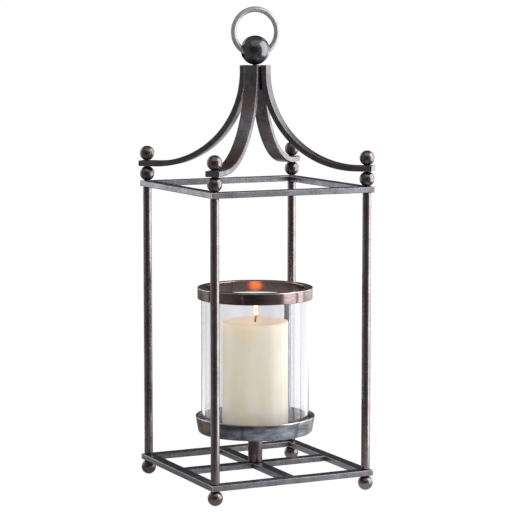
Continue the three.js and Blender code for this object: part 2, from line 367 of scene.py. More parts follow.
@dataclass(frozen=True)
class PatinaIron:
    """Blackened, waxed iron with a grey bloom, coppery patches and rubbed edges.

    Colours are linear. Lengths are in metres and grain scales in features per metre.
    Some of the colour is painted light: shade in crevices, dark reflections in some
    patches and a highlight along some rims.
    """

    name: str
    ground: Colour
    bloom: Colour
    copper: Colour = (0.16, 0.075, 0.048)
    rubbed: Colour = (0.46, 0.33, 0.27)
    bloom_from: float = 0.36
    bloom_to: float = 0.68
    copper_share: float = 0.4
    copper_from: float = 0.54
    rub_share: float = 0.8
    rub_width: float = 0.0011
    rub_patchy: float = 0.4
    gloss: float = 0.24
    dull: float = 0.38
    metallic: float = 0.85
    wax: float = 0.3
    wax_rough: float = 0.2
    patch_scale: float = 95
    stretch: Colour = (1, 1, 1)
    speck_scale: float = 620
    speck_depth: float = 0.16
    hammer_depth: float = 0.00008
    pit_depth: float = 0.00003
    limb: Colour = (0.55, 0.52, 0.52)
    # The least share of colour that the painted shade in crevices leaves.
    crevice_shade: float = 0.35
    tinted_patches: tuple[Stain, ...] = ()
    inner_wall_tone: Colour | None = None
    inside_radius: float = 0.0638
    inside_floor: float = 0.0606
    inside_flare: float = 0.167
    worn_highlit_lip_above: float | None = None

    def make(self) -> bpy.types.Material:
        """Builds the material."""
        graph = Shading(self.name)
        patches = graph.grain(self.patch_scale, 6, 0.62, self.stretch, 0.3)
        warm = graph.grain(self.patch_scale * 0.42, 5, 0.6, self.stretch, 0.8)
        specks = graph.grain(self.speck_scale, 4, 0.6, self.stretch)

        bloom = graph.span(patches, (self.bloom_from, self.bloom_to), RISE)
        colour = graph.blend(bloom, self.ground, self.bloom)
        copper_to = self.copper_from + 0.14
        warm_mask = graph.span(warm, (self.copper_from, copper_to), (0.0, self.copper_share))
        colour = graph.blend(warm_mask, colour, self.copper)
        # Patches of colour: stains, and on the dish's front and some balls painted reflections.
        for stain in self.tinted_patches:
            mask = self.stain_and_reflection_mask(graph, stain, patches)
            colour = graph.blend(mask, colour, stain.colour or self.copper)
        tone = graph.span(specks, NOISE, (1 - self.speck_depth, 1 + self.speck_depth))
        colour = graph.toned(colour, tone)
        # Painted shade: darkens the colour where near surfaces hide the sky, in crevices and
        # between parts.
        crevice_shade = graph.span(graph.painted_crevice_shade(0.005), RISE, (self.crevice_shade, 1))
        colour = graph.toned(colour, crevice_shade)
        if self.rub_share:
            colour = graph.blend(self.worn(graph), colour, self.rubbed)
        # The inner wall's own tone: lighter grey in the dish, and a darker painted shade inside
        # the collar.
        if self.inner_wall_tone is not None:
            colour = graph.blend(self.inside(graph), colour, self.inner_wall_tone)
        # Rubbed-bare colour that is also a painted highlight along a rim's top.
        if self.worn_highlit_lip_above is not None:
            colour = graph.blend(self.worn_highlit_lip(graph), colour, self.rubbed)

        rough = graph.span(patches, NOISE, (self.dull, self.gloss))
        rough = graph.maths("ADD", rough, graph.span(specks, NOISE, (-0.03, 0.05)))
        hammered = graph.grain(self.patch_scale * 1.5, 2, 0.5, self.stretch)
        normal = graph.relief(hammered, self.hammer_depth)
        normal = graph.relief(specks, self.pit_depth, normal)
        graph.set(Base_Color=colour, Roughness=rough, Metallic=self.metallic, Normal=normal)
        graph.set(Specular_Tint=(*self.limb, 1.0))
        graph.set(Coat_Weight=self.wax, Coat_Roughness=self.wax_rough, Coat_Normal=normal)
        return graph.material

    def worn(self, graph: Shading) -> Socket:
        """Where the edges are rubbed bare.

        Args:
            graph: The material's graph.

        Returns:
            The mask's value socket.
        """
        wear = graph.grain(self.patch_scale * 2.6, 3, 0.6)
        patchy = graph.span(wear, (self.rub_patchy, self.rub_patchy + 0.2), (0.15, 1.0))
        edge = graph.maths("MULTIPLY", graph.edges(self.rub_width), patchy)
        return graph.maths("MULTIPLY", edge, self.rub_share)

    def worn_highlit_lip(self, graph: Shading) -> Socket:
        """Where a rim's top is lighter: rubbed bare, with a painted highlight along it.

        Args:
            graph: The material's graph.

        Returns:
            The mask's value socket.
        """
        step = (self.worn_highlit_lip_above - 0.3 * MM, self.worn_highlit_lip_above + 0.3 * MM)
        high = graph.span(graph.axes()["Z"], step, RISE)
        patchy = graph.span(graph.grain(60, 4, 0.6), (0.4, 0.6), (0.45, 0.95))
        return graph.maths("MULTIPLY", high, patchy)

    def inside(self, graph: Shading) -> Socket:
        """Where the inner wall of a flared dish, and of the collar, takes its own tone.

        Args:
            graph: The material's graph.

        Returns:
            The mask's value socket.
        """
        rise = graph.maths("SUBTRACT", graph.axes()["Z"], self.inside_floor)
        flare = graph.maths("MULTIPLY", rise, self.inside_flare)
        out = graph.vectors("LENGTH", graph.vectors("MULTIPLY", graph.place, (1.0, 1.0, 0.0)))
        radius = graph.maths("SUBTRACT", out, flare)
        step = (self.inside_radius - 0.6 * MM, self.inside_radius + 0.6 * MM)
        within = graph.span(radius, step, (0.8, 0.0))
        above = graph.span(rise, (0.0, 1 * MM), RISE)
        return graph.maths("MULTIPLY", within, above)

    def stain_and_reflection_mask(self, graph: Shading, stain: Stain, ragged: Socket) -> Socket:
        """Where one patch of colour shows.

        Args:
            graph: The material's graph.
            stain: The patch.
            ragged: A pattern that breaks its edge.

        Returns:
            The mask's value socket.
        """
        offset = graph.vectors("SUBTRACT", graph.place, stain.place)
        away = graph.vectors("LENGTH", graph.vectors("MULTIPLY", offset, (1.0, 1.0, stain.flat)))
        near = graph.span(away, (0.3 * stain.reach, stain.reach), FALL)
        broken = graph.span(ragged, (0.34, 0.54), (0.4, 1.0))
        return graph.maths("MULTIPLY", graph.maths("MULTIPLY", near, broken), stain.share)


@dataclass(frozen=True)
class ThreadedZinc:
    """Zinc-plated rod with a fine thread round Z."""

    name: str
    colour: Colour = (0.46, 0.46, 0.44)
    pitch: float = 0.0008
    depth: float = 0.0003

    def make(self) -> bpy.types.Material:
        """Builds the material."""
        graph = Shading(self.name)
        # A wave texture's scale of 1 gives a band each 0.314 units.
        inputs = {"Vector": graph.place, "Scale": 0.314 / self.pitch}
        wave = graph.node("ShaderNodeTexWave", inputs, bands_direction="Z")
        tinted_patches = graph.grain(400, 4, 0.6)
        tone = graph.span(tinted_patches, (0.35, 0.65), (0.7, 1.1))
        colour = graph.toned(self.colour, tone)
        rough = graph.span(tinted_patches, NOISE, (0.28, 0.5))
        normal = graph.relief(wave.outputs["Fac"], self.depth)
        graph.set(Base_Color=colour, Roughness=rough, Metallic=1.0, Normal=normal)
        return graph.material


@dataclass(frozen=True)
class ClearGlass:
    """Drawn clear glass, very slightly wavy, with upright bands of painted reflection in its tint.
    """

    name: str
    tint: Colour = (0.925, 0.925, 0.942)
    reflection_band_tint: Colour = (0.80, 0.80, 0.825)
    ripple: float = 0.00004
    mirror: Colour = (0.3, 0.3, 0.32)
    gleam: float = 0.22

    def make(self) -> bpy.types.Material:
        """Builds the material."""
        graph = Shading(self.name)
        draw_lines = graph.grain(34, 2, 0.5, (1, 1, 0.12))
        smears = graph.grain(60, 5, 0.6)
        # Painted reflection: upright bands between two tints stand in for the studio mirrored in
        # the glass.
        painted_reflection_bands = graph.span(graph.grain(26, 2, 0.5, (1, 1, 0.02)), (0.36, 0.62), RISE)
        tint = graph.blend(painted_reflection_bands, self.reflection_band_tint, self.tint)
        rough = graph.span(smears, (0.45, 0.75), (0.0, 0.035))
        normal = graph.relief(draw_lines, self.ripple)
        graph.set(Base_Color=tint, Roughness=rough, Normal=normal)
        graph.set(Transmission_Weight=1.0, IOR=1.5, Specular_IOR_Level=self.gleam)
        graph.set(Specular_Tint=(*self.mirror, 1.0))
        return graph.material


@dataclass(frozen=True)
class IvoryWax:
    """Smooth ivory paraffin, slightly translucent and glowing under the flame."""

    name: str
    body: Colour = (0.93, 0.865, 0.715)
    cloudy: Colour = (0.90, 0.795, 0.585)
    glow: Colour = (1.0, 0.55, 0.22)
    glow_strength: float = 0.22
    glow_depth: float = 0.03
    top: float = 0.187

    def make(self) -> bpy.types.Material:
        """Builds the material."""
        graph = Shading(self.name)
        clouds = graph.grain(30, 5, 0.55)
        fine = graph.grain(420, 3, 0.5)
        mask = graph.span(clouds, (0.38, 0.66), RISE)
        colour = graph.blend(mask, self.body, self.cloudy)
        # Painted glow: emission near the top stands in for the flame's light in the wax.
        rise = graph.span(graph.axes()["Z"], (self.top - self.glow_depth, self.top), RISE)
        warmth = graph.maths("POWER", rise, 2.2)
        strength = graph.maths("MULTIPLY", warmth, self.glow_strength)
        rough = graph.span(fine, NOISE, (0.34, 0.5))
        normal = graph.relief(clouds, 0.0003)
        normal = graph.relief(fine, 0.00002, normal)
        graph.set(Base_Color=colour, Roughness=rough, Normal=normal)
        graph.set(Subsurface_Weight=0.75, Subsurface_Scale=0.006)
        graph.set(Subsurface_Radius=(1.0, 0.72, 0.42), IOR=1.43)
        graph.set(Emission_Color=(*self.glow, 1.0), Emission_Strength=strength)
        return graph.material


@dataclass(frozen=True)
class CharredWick:
    """Braided cotton, charred black, with an ember tip."""

    name: str
    char: Colour = (0.012, 0.009, 0.008)
    cotton: Colour = (0.16, 0.11, 0.07)
    ember: Colour = (1.0, 0.20, 0.03)
    foot: float = 0.186
    tip: float = 0.195

    def make(self) -> bpy.types.Material:
        """Builds the material."""
        graph = Shading(self.name)
        fibres = graph.grain(2400, 3, 0.6, (1, 1, 0.4))
        height = graph.axes()["Z"]
        burnt = graph.span(height, (self.foot, self.foot + 0.002), RISE)
        colour = graph.blend(burnt, self.cotton, self.char)
        tone = graph.span(fibres, NOISE, (0.5, 1.6))
        colour = graph.toned(colour, tone)
        heat = graph.span(height, (self.tip - 0.0035, self.tip), (0.0, 1.2))
        heat = graph.maths("MULTIPLY", heat, graph.span(fibres, (0.35, 0.65), (0.2, 1.0)))
        normal = graph.relief(fibres, 0.00012)
        rough = graph.span(fibres, NOISE, (0.8, 0.98))
        graph.set(Base_Color=colour, Roughness=rough, Normal=normal)
        graph.set(Emission_Color=(*self.ember, 1.0), Emission_Strength=heat)
        return graph.material


@dataclass(frozen=True)
class FlameGlow:
    """Burning gas: clear round the wick, then solid and bright up to the tip."""

    name: str
    colour: Colour
    strength: float
    cover: float
    thin: float
    clear_to: float
    solid_from: float

    def make(self) -> bpy.types.Material:
        """Builds the material."""
        graph = Shading(self.name)
        waver = graph.maths("MULTIPLY", graph.grain(120, 2, 0.5), 0.002)
        height = graph.maths("ADD", graph.axes()["Z"], waver)
        solid = graph.span(height, (self.clear_to, self.solid_from), (self.thin, 1.0))
        cover = graph.maths("MULTIPLY", solid, self.cover)
        glow = graph.maths("MULTIPLY", solid, self.strength)
        graph.set(Base_Color=(0.0, 0.0, 0.0, 1.0), Roughness=1.0, Specular_IOR_Level=0.0)
        graph.set(Emission_Color=(*self.colour, 1.0), Emission_Strength=glow, Alpha=cover)
        return graph.material


@dataclass(frozen=True)
class PaleFloor:
    """White sweep: even to look at, and mirrored by the metal only where it is lit."""

    name: str
    lift: float = 1.02
    away_from_camera: Colour = (0.434, 0.901, 0.0)
    to_the_right: Colour = (0.901, -0.434, 0.0)
    patch: Point = (0.20, 0.42)
    behind: Point = (0.35, 0.9)
    ramp: Point = (-0.15, 0.22)
    shine: Point = (0.26, 1.5)

    def make(self) -> bpy.types.Material:
        """Builds the material."""
        graph = Shading(self.name)
        path = graph.node("ShaderNodeLightPath").outputs
        seen = graph.maths("MAXIMUM", path["Is Camera Ray"], path["Is Transmission Ray"])
        near = graph.span(graph.vectors("LENGTH", graph.place), self.patch, FALL)
        back = graph.vectors("DOT_PRODUCT", graph.place, self.away_from_camera)
        lit = graph.maths("MAXIMUM", near, graph.span(back, self.behind, RISE))
        right = graph.vectors("DOT_PRODUCT", graph.place, self.to_the_right)
        side = graph.span(right, self.ramp, self.shine)
        fibre = graph.span(graph.grain(9, 3, 0.5), NOISE, (0.97, 1.0))
        hidden = graph.maths("SUBTRACT", 1.0, seen)
        mirrored = graph.maths("MULTIPLY", graph.maths("MULTIPLY", side, fibre), hidden)
        glow = graph.maths("MULTIPLY_ADD", seen, self.lift, mirrored)
        graph.set(Base_Color=(0.0, 0.0, 0.0, 1.0), Roughness=1.0, Specular_IOR_Level=0.0)
        graph.set(Emission_Color=(1.0, 1.0, 1.0, 1.0), Emission_Strength=glow)
        graph.set(Alpha=graph.maths("MAXIMUM", seen, lit))
        return graph.material


BAR_IRON = PatinaIron(
    name="bar_iron",
    ground=(0.105, 0.102, 0.113),
    bloom=(0.195, 0.196, 0.216),
    copper=(0.17, 0.115, 0.10),
    copper_share=0.35,
    rubbed=(0.58, 0.36, 0.26),
    rub_width=0.0013,
    rub_share=1.0,
    rub_patchy=0.3,
    pit_depth=0.000012,
    limb=(0.95, 0.95, 1.0),
    gloss=0.25,
    dull=0.38,
    wax=0.25,
    patch_scale=75,
)
POST_IRON = PatinaIron(
    name="post_iron",
    ground=(0.125, 0.102, 0.107),
    bloom=(0.205, 0.182, 0.19),
    pit_depth=0.00001,
    hammer_depth=0.00005,
    limb=(0.3, 0.28, 0.28),
    copper=(0.21, 0.13, 0.105),
    copper_share=0.45,
    rub_share=0.0,
    gloss=0.17,
    dull=0.27,
    wax=0.4,
    wax_rough=0.14,
    patch_scale=120,
    stretch=(1, 1, 0.4),
)
ARM_IRON = PatinaIron(
    name="arm_iron",
    ground=(0.105, 0.098, 0.106),
    bloom=(0.195, 0.190, 0.208),
    copper=(0.19, 0.105, 0.075),
    copper_share=0.5,
    copper_from=0.53,
    rubbed=(0.42, 0.36, 0.34),
    rub_patchy=0.25,
    gloss=0.26,
    dull=0.38,
    wax=0.3,
    patch_scale=100,
    pit_depth=0.000015,
    tinted_patches=(
        Stain((-0.056, -0.056, 0.376), 0.034, 0.85, (0.10, 0.052, 0.038)),
        Stain((-0.014, -0.014, 0.437), 0.016, 0.7),
        Stain((0.030, 0.030, 0.415), 0.02, 0.5),
        Stain((0.058, -0.058, 0.375), 0.03, 0.4),
    ),
)
BALL_IRON = PatinaIron(
    name="ball_iron",
    ground=(0.072, 0.054, 0.05),
    bloom=(0.15, 0.124, 0.116),
    copper=(0.14, 0.085, 0.06),
    copper_share=0.55,
    rub_share=0.0,
    gloss=0.21,
    dull=0.3,
    wax=0.95,
    wax_rough=0.15,
    patch_scale=170,
    speck_depth=0.22,
    hammer_depth=0.00003,
    pit_depth=0.000012,
    limb=(0.14, 0.13, 0.13),
    tinted_patches=(
        # Painted reflection: a darker, bluer colour over the hub ball and the four spacer balls.
        Stain((0.0, 0.0, 0.4954), 0.05, 1.0, (0.062, 0.062, 0.076)),
        Stain((0.0935, 0.0935, 0.3525), 0.014, 0.9, (0.08, 0.08, 0.095)),
        Stain((0.0935, -0.0935, 0.3525), 0.014, 0.9, (0.08, 0.08, 0.095)),
        Stain((-0.0935, -0.0935, 0.3525), 0.014, 0.9, (0.075, 0.07, 0.075)),
        Stain((-0.0935, 0.0935, 0.3525), 0.014, 0.7, (0.075, 0.07, 0.075)),
    ),
)
RING_STEEL = PatinaIron(
    name="ring_steel",
    ground=(0.30, 0.285, 0.29),
    bloom=(0.40, 0.388, 0.395),
    copper=(0.28, 0.2, 0.17),
    copper_share=0.4,
    rub_share=0.0,
    gloss=0.34,
    dull=0.42,
    metallic=0.5,
    wax=0.0,
    patch_scale=110,
    speck_depth=0.08,
    hammer_depth=0.0,
    pit_depth=0.000002,
    limb=(0.2, 0.18, 0.18),
)
PEDESTAL_IRON = PatinaIron(
    name="pedestal_iron",
    ground=(0.06, 0.044, 0.05),
    bloom=(0.125, 0.098, 0.105),
    copper=(0.26, 0.16, 0.12),
    gloss=0.17,
    dull=0.28,
    wax=0.6,
    stretch=(1, 1, 0.4),
    patch_scale=150,
)
DISH_IRON = PatinaIron(
    name="dish_iron",
    ground=(0.088, 0.093, 0.107),
    bloom=(0.235, 0.248, 0.285),
    bloom_from=0.36,
    bloom_to=0.6,
    copper=(0.46, 0.20, 0.09),
    copper_share=0.35,
    copper_from=0.64,
    worn_highlit_lip_above=0.0773,
    pit_depth=0.000015,
    rubbed=(0.60, 0.44, 0.38),
    rub_share=0.95,
    rub_patchy=0.3,
    stretch=(1, 1, 3.2),
    gloss=0.16,
    dull=0.27,
    wax=0.5,
    wax_rough=0.12,
    patch_scale=45,
    hammer_depth=0.00004,
    crevice_shade=0.6,
    tinted_patches=(
        Stain((-0.0655, -0.005, 0.068), 0.0085, 1.0),
        # Painted reflections: near-black patches across the dish's front stand in for the dark
        # that it mirrors.
        Stain((-0.0526, -0.0431, 0.0745), 0.017, 1.0, (0.018, 0.017, 0.018), flat=3.2),
        Stain((-0.0367, -0.0570, 0.0755), 0.018, 1.0, (0.016, 0.015, 0.016), flat=3.6),
        Stain((-0.0130, -0.0660, 0.0762), 0.017, 1.0, (0.018, 0.017, 0.018), flat=4.6),
        Stain((0.0150, -0.0660, 0.0722), 0.012, 0.7, (0.03, 0.03, 0.034), flat=3.6),
    ),
    inner_wall_tone=(0.52, 0.52, 0.54),
)
COLLAR_IRON = PatinaIron(
    name="collar_iron",
    ground=(0.10, 0.066, 0.064),
    bloom=(0.19, 0.147, 0.146),
    worn_highlit_lip_above=0.2256,
    # Painted shade: the collar's inner wall is darkened.
    inner_wall_tone=(0.065, 0.046, 0.045),
    inside_radius=0.0566,
    inside_floor=0.2,
    inside_flare=0.0,
    pit_depth=0.000012,
    copper=(0.24, 0.145, 0.12),
    copper_share=0.3,
    rubbed=(0.66, 0.54, 0.49),
    rub_share=0.95,
    rub_patchy=0.3,
    stretch=(1, 1, 5),
    gloss=0.13,
    dull=0.22,
    wax=0.4,
    wax_rough=0.12,
    patch_scale=50,
    hammer_depth=0.00002,
)
STUD_ZINC = ThreadedZinc(name="stud_zinc")
CLEAR_GLASS = ClearGlass(name="clear_glass")
PALE_FLOOR = PaleFloor(name="pale_floor")


# ---- Outlines ----


def fillet(
    outline: Outline, radii: float | Sequence[float], closed: bool = True, steps: int = 3
) -> Outline:
    """Rounds the corners of an outline.

    Args:
        outline: The corner points.
        radii: One radius, or one for each corner.
        closed: False keeps both end points as they are.
        steps: Chords in each rounded corner.

    Returns:
        The rounded outline.
    """
    count = len(outline)
    sizes = [radii] * count if isinstance(radii, (int, float)) else list(radii)
    made: Outline = []
    for index, corner in enumerate(outline):
        here = Vector(corner)
        back = Vector(outline[index - 1]) - here
        ahead = Vector(outline[(index + 1) % count]) - here
        is_end = not closed and index in (0, count - 1)
        if is_end or sizes[index] <= 0 or min(back.length, ahead.length) < TINY:
            made.append(corner)
            continue
        half = back.angle(ahead) / 2
        reach = min(sizes[index] / math.tan(half), 0.45 * min(back.length, ahead.length))
        radius = reach * math.tan(half)
        start, end = back.normalized() * reach, ahead.normalized() * reach
        centre = (start + end).normalized() * (radius / math.sin(half))
        turn = math.pi - 2 * half
        for step in range(steps + 1):
            share = step / steps
            low = math.sin((1 - share) * turn) / math.sin(turn)
            high = math.sin(share * turn) / math.sin(turn)
            point = here + centre + (start - centre) * low + (end - centre) * high
            made.append((point.x, point.y))
    return made


def hugged(outline: Outline, longest: float, hug: float, closed: bool = True) -> Outline:
    """Splits long edges of an outline, with a point close beside each end of them.

    Args:
        outline: The points.
        longest: The longest edge that may be left.
        hug: How far from an edge's ends the first new points stand.
        closed: True if the last point joins the first.

    Returns:
        The outline with more points.
    """
    made: Outline = []
    ends = outline[1:] + (outline[:1] if closed else [])
    for start, end in zip(outline, ends):
        made.append(start)
        a, b = Vector(start), Vector(end)
        length = (b - a).length
        if length < 3 * hug:
            continue
        inner = max(1, math.ceil((length - 2 * hug) / longest))
        for step in range(inner + 1):
            along = hug + (length - 2 * hug) * step / inner
            point = a.lerp(b, along / length)
            made.append((point.x, point.y))
    if not closed:
        made.append(outline[-1])
    return made


# ---- Meshes ----


def linked(name: str, data: bpy.types.ID) -> Thing:
    """Makes an object of a mesh, a lamp or a camera.

    Args:
        name: The object's name.
        data: What it holds.

    Returns:
        The object, linked to the scene.
    """
    made = bpy.data.objects.new(name, data)
    bpy.context.scene.collection.objects.link(made)
    return made


def evaluated(host: Thing) -> bpy.types.Mesh:
    """The mesh that an object's modifiers make, as a mesh of its own."""
    graph = bpy.context.evaluated_depsgraph_get()
    return bpy.data.meshes.new_from_object(host.evaluated_get(graph), depsgraph=graph)


def turns(count: int) -> list[float]:
    """Angles spread evenly round a circle."""
    return [2 * math.pi * index / count for index in range(count)]


def mesh_object(name: str, shape: bmesh.types.BMesh) -> Thing:
    """Makes a closed mesh with outward faces into an object at the origin.

    Args:
        name: The piece's name.
        shape: The mesh, which is freed.

    Returns:
        The object, linked to the scene.
    """
    bmesh.ops.remove_doubles(shape, verts=shape.verts, dist=TINY)
    bmesh.ops.recalc_face_normals(shape, faces=shape.faces)
    if shape.calc_volume(signed=True) < 0:
        bmesh.ops.reverse_faces(shape, faces=shape.faces)
    mesh = bpy.data.meshes.new(name)
    shape.to_mesh(mesh)
    shape.free()
    return linked(name, mesh)


def grid_of_rings(
    shape: bmesh.types.BMesh, rings: Sequence[Sequence[Vector]], closed: bool
) -> None:
    """Joins rings of points by faces. A ring of one point is a pole.

    Args:
        shape: The mesh to add to.
        rings: The rings, each with the same number of points or with one.
        closed: True if the last ring joins the first.
    """
    placed = [[shape.verts.new(point) for point in ring] for ring in rings]
    pairs = list(zip(placed, placed[1:]))
    if closed:
        pairs.append((placed[-1], placed[0]))
    segments = max(len(ring) for ring in rings)
    for low, high in pairs:
        for index in range(segments):
            after = (index + 1) % segments
            corners = [
                low[index % len(low)],
                low[after % len(low)],
                high[after % len(high)],
                high[index % len(high)],
            ]
            shape.faces.new(dict.fromkeys(corners))


def turned(name: str, outline: Outline, segments: int, closed: bool = False) -> Thing:
    """Turns an outline of (radius, height) round Z.

    Args:
        name: The piece's name.
        outline: The outline, from pole to pole or closed on itself.
        segments: Faces round the axis.
        closed: True for a tube or a ring.

    Returns:
        The turned object.
    """
    rings = [
        [Vector((radius * math.cos(a), radius * math.sin(a), height)) for a in turns(segments)]
        if radius > TINY
        else [Vector((0, 0, height))]
        for radius, height in outline
    ]
    shape = bmesh.new()
    grid_of_rings(shape, rings, closed)
    return mesh_object(name, shape)


@dataclass(frozen=True)
class Lathe:
    """How finely a piece is turned: lengths in metres, and closed for a tube or a ring."""

    faces: int
    longest: float
    hug: float
    closed: bool = False
    corner_steps: int = 3

    def turned(self, name: str, outline: Outline, radii: float | Sequence[float]) -> Thing:
        """Turns an outline round Z, with its corners rounded and its long edges split.

        Args:
            name: The piece's name.
            outline: The corners, as (radius, height).
            radii: One radius, or one for each corner.

        Returns:
            The turned object.
        """
        rounded = fillet(outline, radii, self.closed, self.corner_steps)
        split = hugged(rounded, self.longest, self.hug, self.closed)
        return turned(name, split, self.faces, self.closed)


@dataclass(frozen=True)
class Wear:
    """The slight unevenness of hand work."""

    depth: float
    """How far a point moves at most, in metres."""
    grain: float
    """Hollows per metre."""

    def inputs(self, seed: float) -> dict[str, float]:
        """The wear as inputs of a Growth tree."""
        return {"Dent_Depth": self.depth, "Dent_Grain": float(self.grain), "Seed": float(seed)}

    def forged(self, piece: Thing, seed: float) -> Thing:
        """Wears a piece.

        Args:
            piece: The mesh object, changed in place.
            seed: Moves the pattern.

        Returns:
            The same object.
        """
        shift = Vector((seed, 2.3 * seed, -1.7 * seed))
        vertices = piece.data.vertices
        sizes = [self.depth * noise.noise(v.co * self.grain + shift) for v in vertices]
        moves = [v.normal * size for v, size in zip(vertices, sizes)]
        for vertex, move in zip(vertices, moves):
            vertex.co += move
        return piece


def flat_bar(name: str, low: Vector, high: Vector, mitre: int = 0) -> Thing:
    """Makes a flat bar with eased edges that fills a box.

    Args:
        name: The piece's name.
        low: The box's lowest corner.
        high: The box's highest corner.
        mitre: Across the bar, the sign of its long edge, or 0 for square ends.

    Returns:
        The bar.
    """
    ease, step, hug = 0.7 * MM, 2.2 * MM, 0.5 * MM
    size = high - low
    along = 0 if size.x > size.y else 1
    across = 1 - along
    half, thick = size[across] / 2, size.z / 2
    middle = (low + high) / 2
    corners = [(-half, -thick), (half, -thick), (half, thick), (-half, thick)]
    section = hugged(fillet(corners, ease), step, hug)
    stations = [0.0, *station_shares(size[along], step, hug), 1.0]
    rings = []
    for share in stations:
        ring = []
        for u, v in section:
            inset = (half - u * mitre) if mitre else 0.0
            start, end = low[along] + inset, high[along] - inset
            point = Vector((0, 0, middle.z + v))
            point[along] = start + (end - start) * share
            point[across] = middle[across] + u
            ring.append(point)
        rings.append(ring)
    shape = bmesh.new()
    grid_of_rings(shape, rings, closed=False)
    shape.verts.ensure_lookup_table()
    count = len(section)
    shape.faces.new(shape.verts[:count])
    shape.faces.new(shape.verts[-count:])
    return mesh_object(name, shape)


def station_shares(length: float, step: float, hug: float) -> list[float]:
    """Shares of a bar's length at which it has a ring of points, without its ends."""
    count = math.ceil((length - 2 * hug) / step)
    return [(hug + (length - 2 * hug) * index / count) / length for index in range(count + 1)]


# ---- Geometry Nodes ----


class Growth(Graph):
    """A Geometry Nodes tree with named inputs, which ends in a realised, painted mesh."""

    def __init__(self, name: str, **sizes: float | Sequence[float]) -> None:
        """Starts a tree.

        Args:
            name: The tree's name.
            **sizes: Input names, with _ for a space, and their first values.
        """
        super().__init__(bpy.data.node_groups.new(name, "GeometryNodeTree"))
        self.keys: dict[str, str] = {}
        for label, value in sizes.items():
            kind = "NodeSocketFloat" if isinstance(value, (int, float)) else "NodeSocketVector"
            self.declare(label, kind).default_value = value
        self.declare("Material", "NodeSocketMaterial")
        output = {"in_out": "OUTPUT", "socket_type": "NodeSocketGeometry"}
        self.tree.interface.new_socket("Geometry", **output)
        self.entry = self.node("NodeGroupInput")

    def declare(self, label: str, kind: str) -> bpy.types.NodeTreeInterfaceSocket:
        """Adds an input to the tree and keeps its identifier.

        Args:
            label: The input's name, with _ for a space.
            kind: Its socket type.

        Returns:
            The tree's new input.
        """
        plain = label.replace("_", " ")
        made = self.tree.interface.new_socket(plain, in_out="INPUT", socket_type=kind)
        self.keys[label] = made.identifier
        return made

    def size(self, label: str) -> Socket:
        """The socket of a named input."""
        return self.entry.outputs[label.replace("_", " ")]

    def point(self, x: object, y: object, z: object) -> Socket:
        """Joins three values into a vector."""
        return self.node("ShaderNodeCombineXYZ", {0: x, 1: y, 2: z}).outputs[0]

    def line(self, end: object, points: int) -> Socket:
        """A straight curve from the origin, with its points spread evenly."""
        straight = self.node("GeometryNodeCurvePrimitiveLine", {"End": end}).outputs[0]
        return self.node("GeometryNodeResampleCurve", {0: straight, "Count": points}).outputs[0]

    def circle(self, points: int, radius: object = 1.0) -> Socket:
        """A circle round Z, as a curve."""
        inputs = {"Resolution": points, "Radius": radius}
        return self.node("GeometryNodeCurvePrimitiveCircle", inputs).outputs[0]

    def along(self, measure: str = "Factor") -> Socket:
        """Where each point is along its curve, as a share or as a Length."""
        return self.node("GeometryNodeSplineParameter").outputs[measure]

    def swept(self, curve: Socket, profile: Socket, scale: object = 1.0) -> Socket:
        """Sweeps a profile along a curve.

        Args:
            curve: The path's socket.
            profile: The section's socket.
            scale: The section's size at each point of the path.

        Returns:
            The mesh's socket.
        """
        inputs = {"Curve": curve, "Profile Curve": profile, "Scale": scale, "Fill Caps": True}
        return self.node("GeometryNodeCurveToMesh", inputs).outputs[0]

    def moved(self, geometry: Socket, **move: Socket) -> Socket:
        """Sets each point's Position, or moves it by an Offset."""
        return self.node("GeometryNodeSetPosition", {"Geometry": geometry, **move}).outputs[0]

    def worn(self, geometry: Socket) -> Socket:
        """Moves each point along its normal by a noise pattern, by the wear's inputs.

        Args:
            geometry: The geometry socket.

        Returns:
            The moved geometry's socket.
        """
        inputs = {
            "Vector": self.node("GeometryNodeInputPosition").outputs[0],
            "Scale": self.size("Dent_Grain"),
            "W": self.size("Seed"),
            "Detail": 2.0,
        }
        texture = self.node("ShaderNodeTexNoise", inputs, noise_dimensions="4D").outputs[0]
        centred = self.maths("MULTIPLY_ADD", texture, 2.0, -1.0)
        reach = self.maths("MULTIPLY", centred, self.size("Dent_Depth"))
        inputs = {0: self.node("GeometryNodeInputNormal").outputs[0], "Scale": reach}
        push = self.node("ShaderNodeVectorMath", inputs, operation="SCALE").outputs[0]
        return self.moved(geometry, Offset=push)

    def close(self, geometry: Socket) -> None:
        """Ends the tree: merged, smooth, realised and painted.

        Args:
            geometry: The finished geometry's socket.
        """
        merged = self.node("GeometryNodeMergeByDistance", {"Geometry": geometry, "Distance": 1e-6})
        smooth = self.node("GeometryNodeSetShadeSmooth", {"Geometry": merged.outputs[0]})
        real = self.node("GeometryNodeRealizeInstances", {"Geometry": smooth.outputs[0]})
        inputs = {"Geometry": real.outputs[0], "Material": self.size("Material")}
        painted = self.node("GeometryNodeSetMaterial", inputs)
        self.node("NodeGroupOutput", {"Geometry": painted.outputs[0]})

    def grow(
        self, name: str, material: bpy.types.Material, **sizes: float | Sequence[float]
    ) -> Thing:
        """Makes one piece from the tree.

        Args:
            name: The piece's name.
            material: Its finish.
            **sizes: Values for the tree's inputs.

        Returns:
            The piece, a plain mesh with no modifier.
        """
        host = linked(f"{name}_host", bpy.data.meshes.new(f"{name}_host"))
        modifier = host.modifiers.new("growth", "NODES")
        modifier.node_group = self.tree
        modifier[self.keys["Material"]] = material
        for label, value in sizes.items():
            modifier[self.keys[label]] = value
        shape = bmesh.new()
        shape.from_mesh(evaluated(host))
        bpy.data.objects.remove(host)
        made = mesh_object(name, shape)
        made.data.materials.append(material)
        return made


